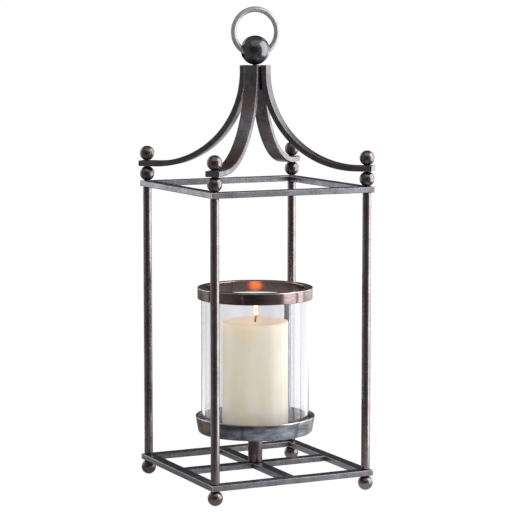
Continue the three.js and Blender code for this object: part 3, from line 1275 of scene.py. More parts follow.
def ball_growth() -> Growth:
    """A forged ball with faced-off seats.

    Returns:
        The tree, with inputs Radius, Centre, Low Seat, High Seat, Dent Depth, Dent Grain and Seed.
    """
    tree = Growth(
        "forged_ball",
        Radius=0.0085,
        Centre=(0.0, 0.0, 0.0),
        Low_Seat=0.0,
        High_Seat=0.0,
        Dent_Depth=0.0001,
        Dent_Grain=150.0,
        Seed=0.0,
    )
    radius = tree.size("Radius")
    fineness = {"Segments": 56, "Rings": 36}
    sphere = tree.node("GeometryNodeMeshUVSphere", {"Radius": radius, **fineness})
    dented = tree.worn(sphere.outputs[0])
    place = tree.node("GeometryNodeInputPosition").outputs[0]
    split = tree.node("ShaderNodeSeparateXYZ", {0: place}).outputs
    lowest = tree.maths("SUBTRACT", tree.size("Low_Seat"), radius)
    highest = tree.maths("SUBTRACT", radius, tree.size("High_Seat"))
    height = tree.maths("MINIMUM", tree.maths("MAXIMUM", split[2], lowest), highest)
    seated = tree.moved(dented, Position=tree.point(split[0], split[1], height))
    tree.close(tree.moved(seated, Offset=tree.size("Centre")))
    return tree


def rod_growth() -> Growth:
    """A forged round rod on Z, with chamfered ends.

    Returns:
        The tree, with inputs Radius, Foot, Length, Chamfer, Dent Depth, Dent Grain and Seed.
    """
    tree = Growth(
        "forged_rod",
        Radius=0.005,
        Foot=(0.0, 0.0, 0.0),
        Length=0.3,
        Chamfer=0.0004,
        Dent_Depth=0.0001,
        Dent_Grain=60.0,
        Seed=0.0,
    )
    top = tree.point(0.0, 0.0, tree.size("Length"))
    path = tree.line(top, points=190)
    along = tree.along("Length")
    nearest = tree.maths("MINIMUM", along, tree.maths("SUBTRACT", tree.size("Length"), along))
    short = tree.maths("MAXIMUM", tree.maths("SUBTRACT", tree.size("Chamfer"), nearest), 0.0)
    girth = tree.maths("SUBTRACT", tree.size("Radius"), short)
    swept = tree.swept(path, tree.circle(points=44), girth)
    tree.close(tree.worn(tree.moved(swept, Offset=tree.size("Foot"))))
    return tree


def arm_growth() -> Growth:
    """A flat bar that drops from the hub, sweeps outwards and ends in a level tail.

    Returns:
        The tree, with inputs for the sweep's sizes, the bar's section and its bearing.
    """
    tree = Growth(
        "swept_arm",
        Hub_Offset=0.0128,
        Sweep_Radius=0.107,
        Tail_Height=0.3647,
        Tail_End=0.1397,
        Arm_Top=0.4783,
        Width=0.016,
        Thickness=0.0064,
        Bearing=0.0,
        Dent_Depth=0.00012,
        Dent_Grain=55.0,
        Seed=0.0,
    )
    sweep, offset = tree.size("Sweep_Radius"), tree.size("Hub_Offset")
    spring = tree.maths("ADD", tree.size("Tail_Height"), sweep)
    drop = tree.maths("SUBTRACT", tree.size("Arm_Top"), spring)
    arc = tree.maths("MULTIPLY", sweep, math.pi / 2)
    tail = tree.maths("SUBTRACT", tree.maths("SUBTRACT", tree.size("Tail_End"), offset), sweep)
    whole = tree.maths("ADD", tree.maths("ADD", drop, arc), tail)

    line = tree.line((1.0, 0.0, 0.0), points=110)
    run = tree.maths("MULTIPLY", tree.along(), whole)
    dropped = tree.maths("MINIMUM", run, drop)
    past = tree.maths("SUBTRACT", run, drop)
    on_arc = tree.maths("MINIMUM", tree.maths("MAXIMUM", past, 0.0), arc)
    turn = tree.maths("DIVIDE", on_arc, sweep)
    on_tail = tree.maths("MAXIMUM", tree.maths("SUBTRACT", past, arc), 0.0)
    lean = tree.maths("SUBTRACT", 1.0, tree.maths("COSINE", turn))
    out = tree.maths("ADD", tree.maths("MULTIPLY_ADD", sweep, lean, offset), on_tail)
    fall = tree.maths("MULTIPLY_ADD", sweep, tree.maths("SINE", turn), dropped)
    height = tree.maths("SUBTRACT", tree.size("Arm_Top"), fall)
    path = tree.moved(line, Position=tree.point(out, 0.0, height))

    sides = {0: tree.size("Thickness"), 1: tree.size("Width")}
    frame = tree.node("GeometryNodeCurvePrimitiveQuadrilateral", sides).outputs[0]
    inputs = {"Curve": frame, "Count": 3, "Radius": 0.7 * MM}
    rounded = tree.node("GeometryNodeFilletCurve", inputs, mode="POLY").outputs[0]
    section = tree.node("GeometryNodeSubdivideCurve", {"Curve": rounded, "Cuts": 5}).outputs[0]
    uneven = tree.worn(tree.swept(path, section))
    heading = tree.point(0.0, 0.0, tree.size("Bearing"))
    aimed = tree.node("GeometryNodeTransform", {"Geometry": uneven, "Rotation": heading})
    tree.close(aimed.outputs[0])
    return tree


def ring_growth() -> Growth:
    """A ring of round wire that stands upright, with a dressed weld.

    Returns:
        The tree, with inputs for the ring, its wire, its weld, its turn and its centre's height.
    """
    tree = Growth(
        "wire_ring",
        Ring_Radius=0.02535,
        Wire_Radius=0.00315,
        Weld_Place=0.27,
        Weld_Swell=0.07,
        Weld_Narrow=70.0,
        Groove_Narrow=14.0,
        Groove_Share=1.9,
        Turn=0.0,
        Centre=(0.0, 0.0, 0.0),
        Dent_Depth=0.00005,
        Dent_Grain=160.0,
        Seed=3.0,
    )
    circle = tree.circle(points=168, radius=tree.size("Ring_Radius"))
    away = tree.maths("ABSOLUTE", tree.maths("SUBTRACT", tree.along(), tree.size("Weld_Place")))
    near = tree.maths("MULTIPLY", away, tree.size("Weld_Narrow"))
    square = tree.maths("MULTIPLY", near, near)
    hump = tree.maths("EXPONENT", tree.maths("MULTIPLY", square, -1.0))
    narrow = tree.maths("MULTIPLY", square, tree.size("Groove_Narrow"))
    groove = tree.maths("EXPONENT", tree.maths("MULTIPLY", narrow, -1.0))
    depth = tree.maths("MULTIPLY", tree.size("Weld_Swell"), tree.size("Groove_Share"))
    swell = tree.maths("MULTIPLY_ADD", hump, tree.size("Weld_Swell"), 1.0)
    pinch = tree.maths("SUBTRACT", swell, tree.maths("MULTIPLY", groove, depth))
    girth = tree.maths("MULTIPLY", pinch, tree.size("Wire_Radius"))
    uneven = tree.worn(tree.swept(circle, tree.circle(points=28), girth))
    heading = tree.point(math.pi / 2, 0.0, tree.size("Turn"))
    inputs = {"Geometry": uneven, "Rotation": heading, "Translation": tree.size("Centre")}
    tree.close(tree.node("GeometryNodeTransform", inputs).outputs[0])
    return tree


def wick_growth() -> Growth:
    """Cotton strands wound round each other along a leaning line.

    Returns:
        The tree, with inputs for the line's foot, rise and lean, the strands and their tips.
    """
    strands, tip_girth = 3, 0.55
    tree = Growth(
        "braided_wick",
        Foot=(0.0, 0.0, 0.0),
        Rise=0.02,
        Lean=0.0016,
        Strand_Radius=0.00055,
        Coil_Radius=0.00045,
        Turns=4.0,
        Tip_Share=14.0,
    )
    line = tree.line((0.0, 0.0, 1.0), points=90)
    inputs = {"Geometry": line, "Amount": strands}
    copies = tree.node("GeometryNodeDuplicateElements", inputs, domain="SPLINE")
    share = tree.along()
    first = tree.maths("MULTIPLY", copies.outputs["Duplicate Index"], 2 * math.pi / strands)
    turn = tree.maths("MULTIPLY", share, tree.size("Turns"))
    angle = tree.maths("MULTIPLY_ADD", turn, 2 * math.pi, first)
    bend = tree.maths("MULTIPLY", tree.maths("POWER", share, 3.0), tree.size("Lean"))
    x = tree.maths("MULTIPLY_ADD", tree.maths("COSINE", angle), tree.size("Coil_Radius"), bend)
    y = tree.maths("MULTIPLY", tree.maths("SINE", angle), tree.size("Coil_Radius"))
    z = tree.maths("MULTIPLY", share, tree.size("Rise"))
    wound = tree.moved(copies.outputs[0], Position=tree.point(x, y, z))
    left = tree.maths("MULTIPLY", tree.maths("SUBTRACT", 1.0, share), tree.size("Tip_Share"))
    end = tree.maths("MINIMUM", left, 1.0)
    taper = tree.maths("MULTIPLY_ADD", end, 1 - tip_girth, tip_girth)
    girth = tree.maths("MULTIPLY", taper, tree.size("Strand_Radius"))
    swept = tree.swept(wound, tree.circle(points=10), girth)
    tree.close(tree.moved(swept, Offset=tree.size("Foot")))
    return tree


# ---- Dressing ----


def dress(
    piece: Thing,
    body: Body,
    nodes: Iterable[str] = (),
    material: bpy.types.Material | None = None,
) -> Thing:
    """Shades a piece, gives it its finish and fixes it to its body.

    Args:
        piece: The finished mesh object, at the origin.
        body: The body that it rides on.
        nodes: The CAD nodes that it stands for.
        material: Its finish, if it hasn't one.

    Returns:
        The same object.
    """
    if material is not None:
        piece.data.materials.clear()
        piece.data.materials.append(material)
    piece.data.polygons.foreach_set("use_smooth", [True] * len(piece.data.polygons))
    piece.data.set_sharp_from_angle(angle=SMOOTH_ANGLE)
    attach(piece, body.value)
    if nodes:
        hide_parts(*nodes)
    log.info("%s rides on %s, %d faces", piece.name, body.value, len(piece.data.polygons))
    return piece


# ---- Sub-assemblies ----


@dataclass
class Cage:
    """Ball feet, two square frames of flat bar, the cross and four round posts."""

    ball_radius: float = 0.0085
    foot_flat: float = 0.0002
    seat_flat: float = 0.0001
    bar_wear: Wear = Wear(0.00014, 45)
    post_wear: Wear = Wear(0.00016, 75)
    ball_wear: Wear = Wear(0.00009, 170)
    post_chamfer: float = 0.0005
    balls: Growth = field(default_factory=ball_growth)
    rods: Growth = field(default_factory=rod_growth)

    def build(self) -> None:
        """Makes every piece of the cage."""
        self.bar_iron = BAR_IRON.make()
        self.ball_iron = BALL_IRON.make()
        self.post_iron = POST_IRON.make()
        for level in ("base_bar", "top_bar"):
            self.square_frame(level)
        self.cross()
        for seed, corner in enumerate(Corner):
            self.post(corner, seed)
            for seat in BallSeat:
                self.ball(corner, seat, seed)

    def square_frame(self, level: str) -> None:
        """Makes the four mitred bars of one square frame.

        Args:
            level: The start of the CAD nodes' names.
        """
        boxes = {side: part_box(f"{level}_{side.label}") for side in Side}
        low = Vector(min(box[0][i] for box in boxes.values()) for i in range(3))
        high = Vector(max(box[1][i] for box in boxes.values()) for i in range(3))
        for seed, (side, box) in enumerate(boxes.items()):
            across, sign = side.value
            start, end = low.copy(), high.copy()
            start[across], end[across] = box[0][across], box[1][across]
            bar = flat_bar(f"{level}_{side.label}_iron", start, end, mitre=sign)
            self.finish_bar(bar, f"{level}_{side.label}", seed + len(level))

    def cross(self) -> None:
        """Makes the three bars of the cross inside the base frame."""
        for seed, part in enumerate(("long", "front", "back")):
            node = f"cross_bar_{part}"
            low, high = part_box(node)
            self.finish_bar(flat_bar(f"{node}_iron", low, high), node, 20 + seed)

    def finish_bar(self, bar: Thing, node: str, seed: float) -> None:
        """Wears a bar and fixes it to the lantern.

        Args:
            bar: The bar.
            node: The CAD node that it stands for.
            seed: Moves its pattern of wear.
        """
        self.bar_wear.forged(bar, seed)
        dress(bar, Body.LANTERN, [node], self.bar_iron)

    def post(self, corner: Corner, seed: float) -> None:
        """Makes one post.

        Args:
            corner: Where it stands.
            seed: Moves its pattern of wear.
        """
        node = f"post_{corner.label}"
        low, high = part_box(node)
        middle = (low + high) / 2
        rod = self.rods.grow(
            f"{node}_iron",
            self.post_iron,
            Radius=(high.x - low.x) / 2,
            Foot=(middle.x, middle.y, low.z),
            Length=high.z - low.z,
            Chamfer=self.post_chamfer,
            **self.post_wear.inputs(seed),
        )
        dress(rod, Body.LANTERN, [node])

    def ball(self, corner: Corner, seat: BallSeat, seed: float) -> None:
        """Makes one corner ball.

        Args:
            corner: The corner that it is on.
            seat: Its place on the corner.
            seed: Moves its dents.
        """
        node = f"{seat.value}_{corner.label}"
        low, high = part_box(node)
        middle = (low + high) / 2
        if seat is BallSeat.FOOT:
            middle.z = low.z + self.ball_radius - self.foot_flat
        elif seat is BallSeat.FINIAL:
            middle.z = high.z - self.ball_radius
        ball = self.balls.grow(
            f"{node}_iron",
            self.ball_iron,
            Radius=self.ball_radius,
            Centre=tuple(middle),
            Low_Seat=self.foot_flat if seat is BallSeat.FOOT else self.seat_flat,
            High_Seat=0.0 if seat is BallSeat.FINIAL else self.seat_flat,
            **self.ball_wear.inputs(seed),
        )
        dress(ball, Body.LANTERN, [node])


@dataclass
class Crown:
    """Four swept arms, the core that they are welded to, the drilled ball and its ring."""

    hub_offset: float = 0.0128
    sweep_radius: float = 0.107
    tail_end: float = 0.13973
    arm_width: float = 0.016
    arm_thickness: float = 0.0064
    core_radius: float = 0.0093
    ball_radius: float = 0.0165
    bore_radius: float = 0.0068
    bore_drop: float = 0.0019
    bore_break: float = 0.0005
    ring_radius: float = 0.02535
    wire_radius: float = 0.00315
    ring_turn: float = math.radians(-9)
    weld_place: float = 0.235
    weld_swell: float = 0.05
    arm_wear: Wear = Wear(0.00016, 60)
    core_edge: float = 0.0008
    core_lathe: Lathe = Lathe(faces=48, longest=0.003, hug=0.0005)
    core_wear: Wear = Wear(0.0001, 90)
    ball_faces: int = 72
    ball_steps: int = 26
    bore_shares: Point = (0.97, 0.5)
    ball_wear: Wear = Wear(0.0001, 110)
    ring_wear: Wear = Wear(0.00003, 160)

    def build(self) -> None:
        """Makes every piece of the crown."""
        self.arms()
        self.core()
        self.hub_ball()
        self.ring()

    def arms(self) -> None:
        """Makes the four arms."""
        tree, iron = arm_growth(), ARM_IRON.make()
        for seed, corner in enumerate(Corner):
            node = f"arm_{corner.label}"
            low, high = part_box(node)
            arm = tree.grow(
                f"{node}_iron",
                iron,
                Hub_Offset=self.hub_offset,
                Sweep_Radius=self.sweep_radius,
                Tail_Height=low.z + self.arm_thickness / 2,
                Tail_End=self.tail_end,
                Arm_Top=high.z,
                Width=self.arm_width,
                Thickness=self.arm_thickness,
                Bearing=corner.bearing,
                **self.arm_wear.inputs(seed),
            )
            dress(arm, Body.LANTERN, [node])

    def core(self) -> None:
        """Makes the core between the arms."""
        low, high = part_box("hub_core")
        radius = self.core_radius
        outline = [(0, low.z), (radius, low.z), (radius, high.z), (0, high.z)]
        core = self.core_lathe.turned("hub_core_iron", outline, self.core_edge)
        self.core_wear.forged(core, 5)
        dress(core, Body.LANTERN, ["hub_core"], ARM_IRON.make())

    def hub_ball(self) -> None:
        """Makes the ball that the ring hangs in, drilled from side to side."""
        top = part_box("hub_ball")[1].z
        centre = Vector((0, 0, top - self.ball_radius))
        rings: list[list[Vector]] = []
        for end in (1, -1):
            steps = range(self.ball_steps + 1)
            half = [self.bore_ring(end, step / self.ball_steps) for step in steps]
            half += [self.inside_ring(end, share) for share in self.bore_shares]
            rings += half if end == 1 else half[::-1][:-1]
        shape = bmesh.new()
        grid_of_rings(shape, rings, closed=True)
        turn = Matrix.Translation(centre) @ Matrix.Rotation(self.ring_turn, 4, "Z")
        bmesh.ops.transform(shape, matrix=turn, verts=shape.verts)
        ball = self.ball_wear.forged(mesh_object("hub_ball_iron", shape), 9)
        dress(ball, Body.LANTERN, ["hub_ball"], BALL_IRON.make())

    def bore_edge(self, end: int, turn: float) -> Vector:
        """A point of the edge between ball and bore, from the ball's centre.

        Args:
            end: 1 or -1, the side of the ball.
            turn: The angle round the bore.

        Returns:
            The point.
        """
        y = self.bore_radius * math.cos(turn)
        z = self.bore_radius * math.sin(turn) - self.bore_drop
        return Vector((end * math.sqrt(self.ball_radius**2 - y**2 - z**2), y, z))

    def bore_ring(self, end: int, share: float) -> list[Vector]:
        """A ring of points on the ball's skin.

        Args:
            end: 1 or -1, the side of the ball.
            share: 0 at the ball's girth and 1 at the bore's edge.

        Returns:
            The points, from the ball's centre.
        """
        reach = 1 - self.bore_break / self.ball_radius
        ring = []
        for turn in turns(self.ball_faces):
            girth = Vector((0, math.cos(turn), math.sin(turn)))
            edge = self.bore_edge(end, turn).normalized()
            ring.append(girth.slerp(edge, share * reach) * self.ball_radius)
        return ring

    def inside_ring(self, end: int, share: float) -> list[Vector]:
        """A ring in the bore, from its middle at a share of 0 to its edge at 1."""
        edges = (self.bore_edge(end, turn) for turn in turns(self.ball_faces))
        return [Vector((share * point.x, point.y, point.z)) for point in edges]

    def ring(self) -> None:
        """Makes the hanging ring."""
        low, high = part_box("hanging_ring")
        ring = ring_growth().grow(
            "hanging_ring_steel",
            RING_STEEL.make(),
            Ring_Radius=self.ring_radius,
            Wire_Radius=self.wire_radius,
            Weld_Place=self.weld_place,
            Weld_Swell=self.weld_swell,
            Turn=self.ring_turn,
            Centre=(0.0, 0.0, (low.z + high.z) / 2),
            **self.ring_wear.inputs(3),
        )
        dress(ring, Body.RING, ["hanging_ring"])


@dataclass
class Stand:
    """The pedestal on the cross, the dish and the screw that joins them."""

    pedestal_radius: float = 0.00825
    spigot_radius: float = 0.0032
    foot_radius: float = 0.0654
    rim_radius: float = 0.0685
    wall: float = 0.003
    screw_hole: float = 0.00295
    screw_head: float = 0.0056
    screw_radius: float = 0.00235
    screw_head_depth: float = 0.0029
    slot_half: float = 0.00055
    slot_depth: float = 0.0011
    screw_faces: int = 48
    pedestal_lathe: Lathe = Lathe(faces=56, longest=0.0016, hug=0.0004)
    pedestal_wear: Wear = Wear(0.00012, 90)
    dish_lathe: Lathe = Lathe(192, longest=0.0024, hug=0.0005, closed=True, corner_steps=4)
    dish_wear: Wear = Wear(0.00012, 40)

    def build(self) -> None:
        """Makes every piece of the stand."""
        self.pedestal()
        self.dish()
        self.screw()

    def pedestal(self) -> None:
        """Makes the pedestal."""
        low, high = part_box("pedestal")
        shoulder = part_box("cross_bar_long")[1].z + 0.3 * MM
        outline = [
            (0, low.z),
            (self.spigot_radius, low.z),
            (self.spigot_radius, shoulder),
            (self.pedestal_radius, shoulder),
            (self.pedestal_radius, high.z),
            (0, high.z),
        ]
        radii = [0, 0.2 * MM, 0, 0.6 * MM, 0.6 * MM, 0]
        pedestal = self.pedestal_lathe.turned("pedestal_iron", outline, radii)
        self.pedestal_wear.forged(pedestal, 2)
        dress(pedestal, Body.LANTERN, ["pedestal"], PEDESTAL_IRON.make())

    def dish(self) -> None:
        """Makes the dish."""
        low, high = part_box("dish")
        floor = low.z + self.wall
        sink = self.screw_head + 0.3 * MM
        outline = [
            (self.screw_hole, low.z),
            (self.foot_radius, low.z),
            (self.rim_radius, high.z),
            (self.rim_radius - self.wall, high.z),
            (self.foot_radius - self.wall, floor),
            (sink, floor),
        ]
        radii = [0, 1.6 * MM, 0.7 * MM, 0.7 * MM, 1.2 * MM, 0.2 * MM]
        dish = self.dish_lathe.turned("dish_iron", outline, radii)
        self.dish_wear.forged(dish, 4)
        dress(dish, Body.LANTERN, ["dish"], DISH_IRON.make())

    def screw(self) -> None:
        """Makes the countersunk screw, with a slot across its head."""
        low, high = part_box("dish_screw")
        neck = high.z - self.screw_head_depth
        outline = [
            (0, low.z),
            (self.screw_radius, low.z),
            (self.screw_radius, neck),
            (self.screw_head, high.z),
            (0, high.z),
        ]
        rounded = fillet(outline, [0, 0.4 * MM, 0, 0.15 * MM, 0], closed=False)
        head = turned("dish_screw_zinc", rounded, self.screw_faces)
        slot = bmesh.new()
        bmesh.ops.create_cube(slot, size=1.0)
        sides = (3 * self.screw_head, 2 * self.slot_half, 2 * self.slot_depth, 1.0)
        place = Matrix.Translation((0, 0, high.z)) @ Matrix.Diagonal(sides)
        bmesh.ops.transform(slot, matrix=place, verts=slot.verts)
        cutter = mesh_object("screw_slot_cutter", slot)
        modifier = head.modifiers.new("slot", "BOOLEAN")
        modifier.operation = "DIFFERENCE"
        modifier.solver = "EXACT"
        modifier.object = cutter
        cut = evaluated(head)
        head.modifiers.remove(modifier)
        head.data = cut
        bpy.data.objects.remove(cutter)
        zinc = ThreadedZinc(name="screw_zinc", pitch=0.0007, depth=0.00002).make()
        dress(head, Body.LANTERN, ["dish_screw"], zinc)


@dataclass
class Hurricane:
    """The glass cylinder and the collar ring on its top edge."""

    glass_radius: float = 0.06185
    glass_wall: float = 0.0035
    collar_radius: float = 0.066
    collar_inner: float = 0.0563
    crown: float = 0.003
    gap: float = 0.0003
    glass_edge: float = 0.0012
    glass_lathe: Lathe = Lathe(192, longest=0.008, hug=0.0006, closed=True, corner_steps=4)
    collar_lathe: Lathe = Lathe(192, longest=0.0018, hug=0.0004, closed=True)
    collar_wear: Wear = Wear(0.00008, 50)

    def build(self) -> None:
        """Makes the glass and the collar."""
        self.glass()
        self.collar()

    def glass(self) -> None:
        """Makes the glass cylinder, with fire-polished edges."""
        low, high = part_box("glass_cylinder")
        outer, inner = self.glass_radius, self.glass_radius - self.glass_wall
        outline = [(inner, low.z), (outer, low.z), (outer, high.z), (inner, high.z)]
        glass = self.glass_lathe.turned("glass_cylinder_clear", outline, self.glass_edge)
        glass.visible_shadow = False
        dress(glass, Body.GLASS, ["glass_cylinder"], CLEAR_GLASS.make())

    def collar(self) -> None:
        """Makes the collar, a ring with a groove that sits over the glass."""
        low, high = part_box("collar_ring")
        groove_outer = self.glass_radius + self.gap
        groove_inner = self.glass_radius - self.glass_wall - self.gap
        groove_top = high.z - self.crown
        outline = [
            (self.collar_inner, low.z),
            (groove_inner, low.z),
            (groove_inner, groove_top),
            (groove_outer, groove_top),
            (groove_outer, low.z),
            (self.collar_radius, low.z),
            (self.collar_radius, high.z),
            (self.collar_inner, high.z),
        ]
        radii = [0.3 * MM, 0.3 * MM, 0, 0, 0.3 * MM, 0.7 * MM, 0.8 * MM, 0.6 * MM]
        collar = self.collar_lathe.turned("collar_ring_iron", outline, radii)
        self.collar_wear.forged(collar, 6)
        dress(collar, Body.COLLAR, ["collar_ring"], COLLAR_IRON.make())


@dataclass
class Candle:
    """The pillar candle, its wick and its flame."""

    radius: float = 0.038
    melt_depth: float = 0.0014
    wax_lathe: Lathe = Lathe(faces=128, longest=0.003, hug=0.0005, corner_steps=6)
    wax_wear: Wear = Wear(0.00012, 45)
    flame_faces: int = 32
    flame_steps: int = 26
    wick_lean: float = 0.0016
    flame_sink: float = 0.0065
    flame_height: float = 0.029
    flame_radius: float = 0.0033
    glint_height: float = 0.2145
    glint_radius: float = 0.006
    glint_radiance: float = 17.0
    glint_colour: Colour = (1.0, 0.22, 0.03)

    def build(self) -> None:
        """Makes the candle, the wick and the flame."""
        self.wax()
        self.wick()
        self.flame()

    def wax(self) -> None:
        """Makes the wax, with a soft shoulder and a shallow pool."""
        low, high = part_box("candle")
        top = high.z
        outline = [
            (0, low.z),
            (self.radius, low.z),
            (self.radius, top),
            (self.radius * 0.87, top),
            (self.radius * 0.7, top - 0.5 * self.melt_depth),
            (self.radius * 0.35, top - self.melt_depth),
            (0.0014, top - self.melt_depth),
            (0, top - self.melt_depth),
        ]
        radii = [0, 1.0 * MM, 1.6 * MM, 3 * MM, 4 * MM, 4 * MM, 0, 0]
        candle = self.wax_lathe.turned("candle_wax", outline, radii)
        self.wax_wear.forged(candle, 7)
        wax = IvoryWax(name="ivory_wax", top=top)
        dress(candle, Body.CANDLE, ["candle"], wax.make())

    def wick(self) -> None:
        """Makes the wick."""
        low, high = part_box("wick")
        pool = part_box("candle")[1].z - self.melt_depth
        foot = pool - 2 * MM
        wick = wick_growth().grow(
            "wick_braid",
            CharredWick(name="charred_wick", foot=pool, tip=high.z).make(),
            Foot=(0.0, 0.0, foot),
            Rise=high.z - foot - 0.4 * MM,
            Lean=self.wick_lean,
            Strand_Radius=0.00052,
            Coil_Radius=0.00042,
            Turns=2.6,
        )
        dress(wick, Body.CANDLE, ["wick"])

    def flame(self) -> None:
        """Makes the flame: a bright core in a clear orange mantle."""
        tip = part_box("wick")[1].z
        foot = tip - self.flame_sink
        crown = foot + self.flame_height
        mantle = FlameGlow(
            name="flame_mantle",
            colour=(1.0, 0.34, 0.06),
            strength=1.9,
            cover=0.55,
            thin=0.5,
            clear_to=foot,
            solid_from=tip + 3 * MM,
        )
        core = FlameGlow(
            name="flame_core",
            colour=(1.0, 0.83, 0.50),
            strength=9.0,
            cover=0.97,
            thin=0.0,
            clear_to=tip - 1.5 * MM,
            solid_from=tip + 2.5 * MM,
        )
        self.tongue(mantle, foot, crown, self.flame_radius)
        self.tongue(core, foot + 2 * MM, crown - 3 * MM, 0.7 * self.flame_radius)
        self.glint()

    def glint(self) -> None:
        """Puts the flame's light where the metal round it mirrors it; it rides with the flame."""
        lamp = bpy.data.lights.new("flame_glint", "POINT")
        lamp.color = self.glint_colour
        lamp.shadow_soft_size = self.glint_radius
        lamp.energy = self.glint_radiance * (2 * math.pi * self.glint_radius) ** 2
        made = linked("flame_glint", lamp)
        made.location = (0.0, 0.0, self.glint_height)
        made.parent = bpy.data.objects["flame_core"]
        made.visible_camera = False
        made.visible_transmission = False
        made.visible_diffuse = False

    def tongue(self, glow: FlameGlow, foot: float, crown: float, radius: float) -> None:
        """Makes one shell of the flame.

        Args:
            glow: Its finish, which names it.
            foot: Height of its lower end.
            crown: Height of its tip.
            radius: Its widest radius.
        """
        outline: Outline = [(0, foot)]
        for step in range(1, self.flame_steps):
            share = step / self.flame_steps
            bulge = math.sin(math.pi * share**0.62) ** 0.85 * (1 - 0.28 * share)
            outline.append((radius * bulge, foot + (crown - foot) * share))
        outline.append((0, crown))
        shell = turned(glow.name, outline, self.flame_faces)
        shell.data.transform(Matrix.Translation((0.5 * self.wick_lean, 0, 0)))
        shell.visible_shadow = False
        dress(shell, Body.CANDLE, material=glow.make())


@dataclass(frozen=True)
class Softbox:
    """One soft light, placed from the camera's own bearing.

    Angles are in degrees, from the camera's side round to its right and above the aim point.
    """

    name: str
    beside: float
    elevation: float
    distance: float
    size: Point
    radiance: float
    on_metal: bool = True
    colour: Colour = (1.0, 1.0, 1.0)

    @property
    def power(self) -> float:
        """Watts that give the radiance: an area lamp spreads each over four times its area."""
        return 4 * self.size[0] * self.size[1] * self.radiance


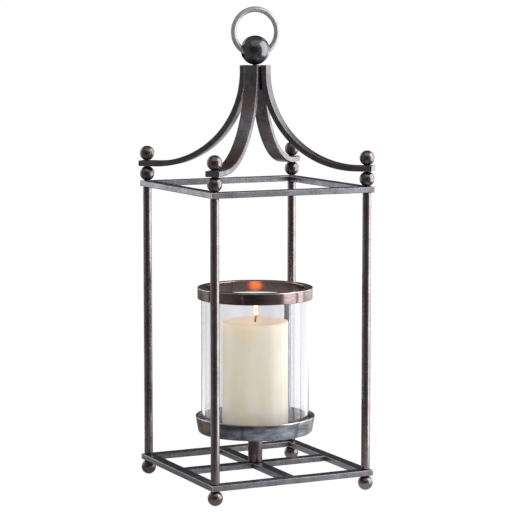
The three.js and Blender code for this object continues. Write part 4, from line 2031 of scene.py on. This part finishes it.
@dataclass
class Studio:
    """The floor, the soft lights and the camera."""

    azimuth: float = -25.7
    elevation: float = 6.4
    distance: float = 2.457
    aim: tuple[float, float, float] = (0.0, 0.0, 0.2616)
    lens: float = 151.5
    sensor: float = 36.0
    side_shift: float = 0.0016
    floor_half: float = 9.0
    dark_beside: float = -12.0
    dark_above: float = 6.0
    metal_ramps: tuple[tuple[Point, Point], ...] = (
        ((0.70, 0.95), (0.26, 0.012)),
        ((-0.85, -0.4), (0.12, 1.0)),
    )
    room_on_wax: float = 0.84
    softboxes: tuple[Softbox, ...] = (
        Softbox("right_softbox", 84, 13, 1.6, (1.7, 3.0), 4.0),
        Softbox("rim_softbox", 131, 12, 1.6, (1.0, 2.2), 1.9),
        Softbox("left_softbox", -130, 8, 1.8, (1.6, 1.9), 1.15),
        Softbox("overhead_softbox", 10, 62, 1.7, (1.9, 1.6), 0.55),
        Softbox("wax_right", 84, 14, 1.6, (0.9, 1.6), 1.95, False, (0.9, 0.99, 1.4)),
        Softbox("wax_left", -96, 14, 1.8, (0.9, 1.4), 1.0, False),
    )

    def build(self) -> None:
        """Sets up the floor, the world, the lights and the camera."""
        self.floor()
        self.world()
        for box in self.softboxes:
            self.hang(box)
        self.camera()
        bpy.context.scene.view_settings.view_transform = "Standard"

    def away(self, azimuth: float, elevation: float) -> Vector:
        """The unit vector from the aim point at an azimuth and an elevation, in degrees."""
        a, e = math.radians(azimuth), math.radians(elevation)
        return Vector((math.sin(a) * math.cos(e), -math.cos(a) * math.cos(e), math.sin(e)))

    def floor(self) -> None:
        """Lays the floor."""
        shape = bmesh.new()
        bmesh.ops.create_grid(shape, x_segments=2, y_segments=2, size=self.floor_half)
        mesh = bpy.data.meshes.new("pale_floor")
        shape.to_mesh(mesh)
        shape.free()
        floor = linked("pale_floor", mesh)
        floor.data.materials.append(PALE_FLOOR.make())
        floor.visible_diffuse = False

    def world(self) -> None:
        """Lights the room: white to look at, in the metal dark towards the camera and behind."""
        world = bpy.data.worlds.new("studio_world")
        world.use_nodes = True
        graph = Graph(world.node_tree)
        path = graph.node("ShaderNodeLightPath").outputs
        direction = graph.node("ShaderNodeTexCoord").outputs["Generated"]
        dark = self.away(self.azimuth + self.dark_beside, self.dark_above)
        towards = graph.vectors("DOT_PRODUCT", direction, dark)
        ramps = [graph.span(towards, source, target) for source, target in self.metal_ramps]
        level: object = 1.0
        kinds = {
            "Is Glossy Ray": graph.maths("MULTIPLY", *ramps),
            "Is Diffuse Ray": self.room_on_wax,
            "Is Transmission Ray": 1.0,
        }
        for label, strength in kinds.items():
            inputs = {0: path[label], 2: level, 3: strength}
            level = graph.node("ShaderNodeMix", inputs).outputs[0]
        background = graph.tree.nodes["Background"].inputs
        graph.feed(background["Color"], (1.0, 1.0, 1.0, 1.0))
        graph.feed(background["Strength"], level)
        bpy.context.scene.world = world

    def facing(
        self, name: str, data: bpy.types.ID, beside: float, above: float, distance: float
    ) -> Thing:
        """Makes a lamp or a camera that faces the aim point.

        Args:
            name: The object's name.
            data: The lamp or the camera.
            beside: Degrees round from the camera's side.
            above: Degrees above the aim point.
            distance: From the aim point, in metres.

        Returns:
            The object.
        """
        made = linked(name, data)
        back = self.away(self.azimuth + beside, above)
        made.location = Vector(self.aim) + back * distance
        made.rotation_mode = "QUATERNION"
        made.rotation_quaternion = back.to_track_quat("Z", "Y")
        return made

    def hang(self, box: Softbox) -> None:
        """Hangs one softbox.

        Args:
            box: The softbox.
        """
        lamp = bpy.data.lights.new(box.name, "AREA")
        lamp.shape = "RECTANGLE"
        lamp.size, lamp.size_y = box.size
        lamp.energy = box.power
        lamp.color = box.colour
        made = self.facing(box.name, lamp, box.beside, box.elevation, box.distance)
        made.visible_camera = False
        made.visible_transmission = False
        made.visible_glossy = box.on_metal
        made.visible_diffuse = not box.on_metal
        log.info("%s at %.0f degrees, %.1f W", box.name, box.beside, box.power)

    def camera(self) -> None:
        """Places the camera."""
        data = bpy.data.cameras.new("studio_camera")
        data.lens = self.lens
        data.sensor_width = self.sensor
        data.shift_x = self.side_shift
        data.clip_end = 40.0
        made = self.facing("studio_camera", data, 0, self.elevation, self.distance)
        bpy.context.scene.camera = made


def dress_cad_studs() -> None:
    """Gives the threaded studs, which are kept from the CAD frame, their finish."""
    zinc = STUD_ZINC.make()
    studs = [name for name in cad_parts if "_stud" in name]
    for name in studs:
        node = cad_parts[name]
        node.data.materials.clear()
        node.data.materials.append(zinc)
        log.info("%s kept from the CAD frame", name)


def main() -> None:
    """Builds the lantern's looks, then the studio around it."""
    logging.basicConfig(level=logging.INFO, format="%(message)s")
    for assembly in (Cage(), Crown(), Stand(), Hurricane(), Candle()):
        assembly.build()
    dress_cad_studs()
    Studio().build()


if __name__ == "__main__":
    main()
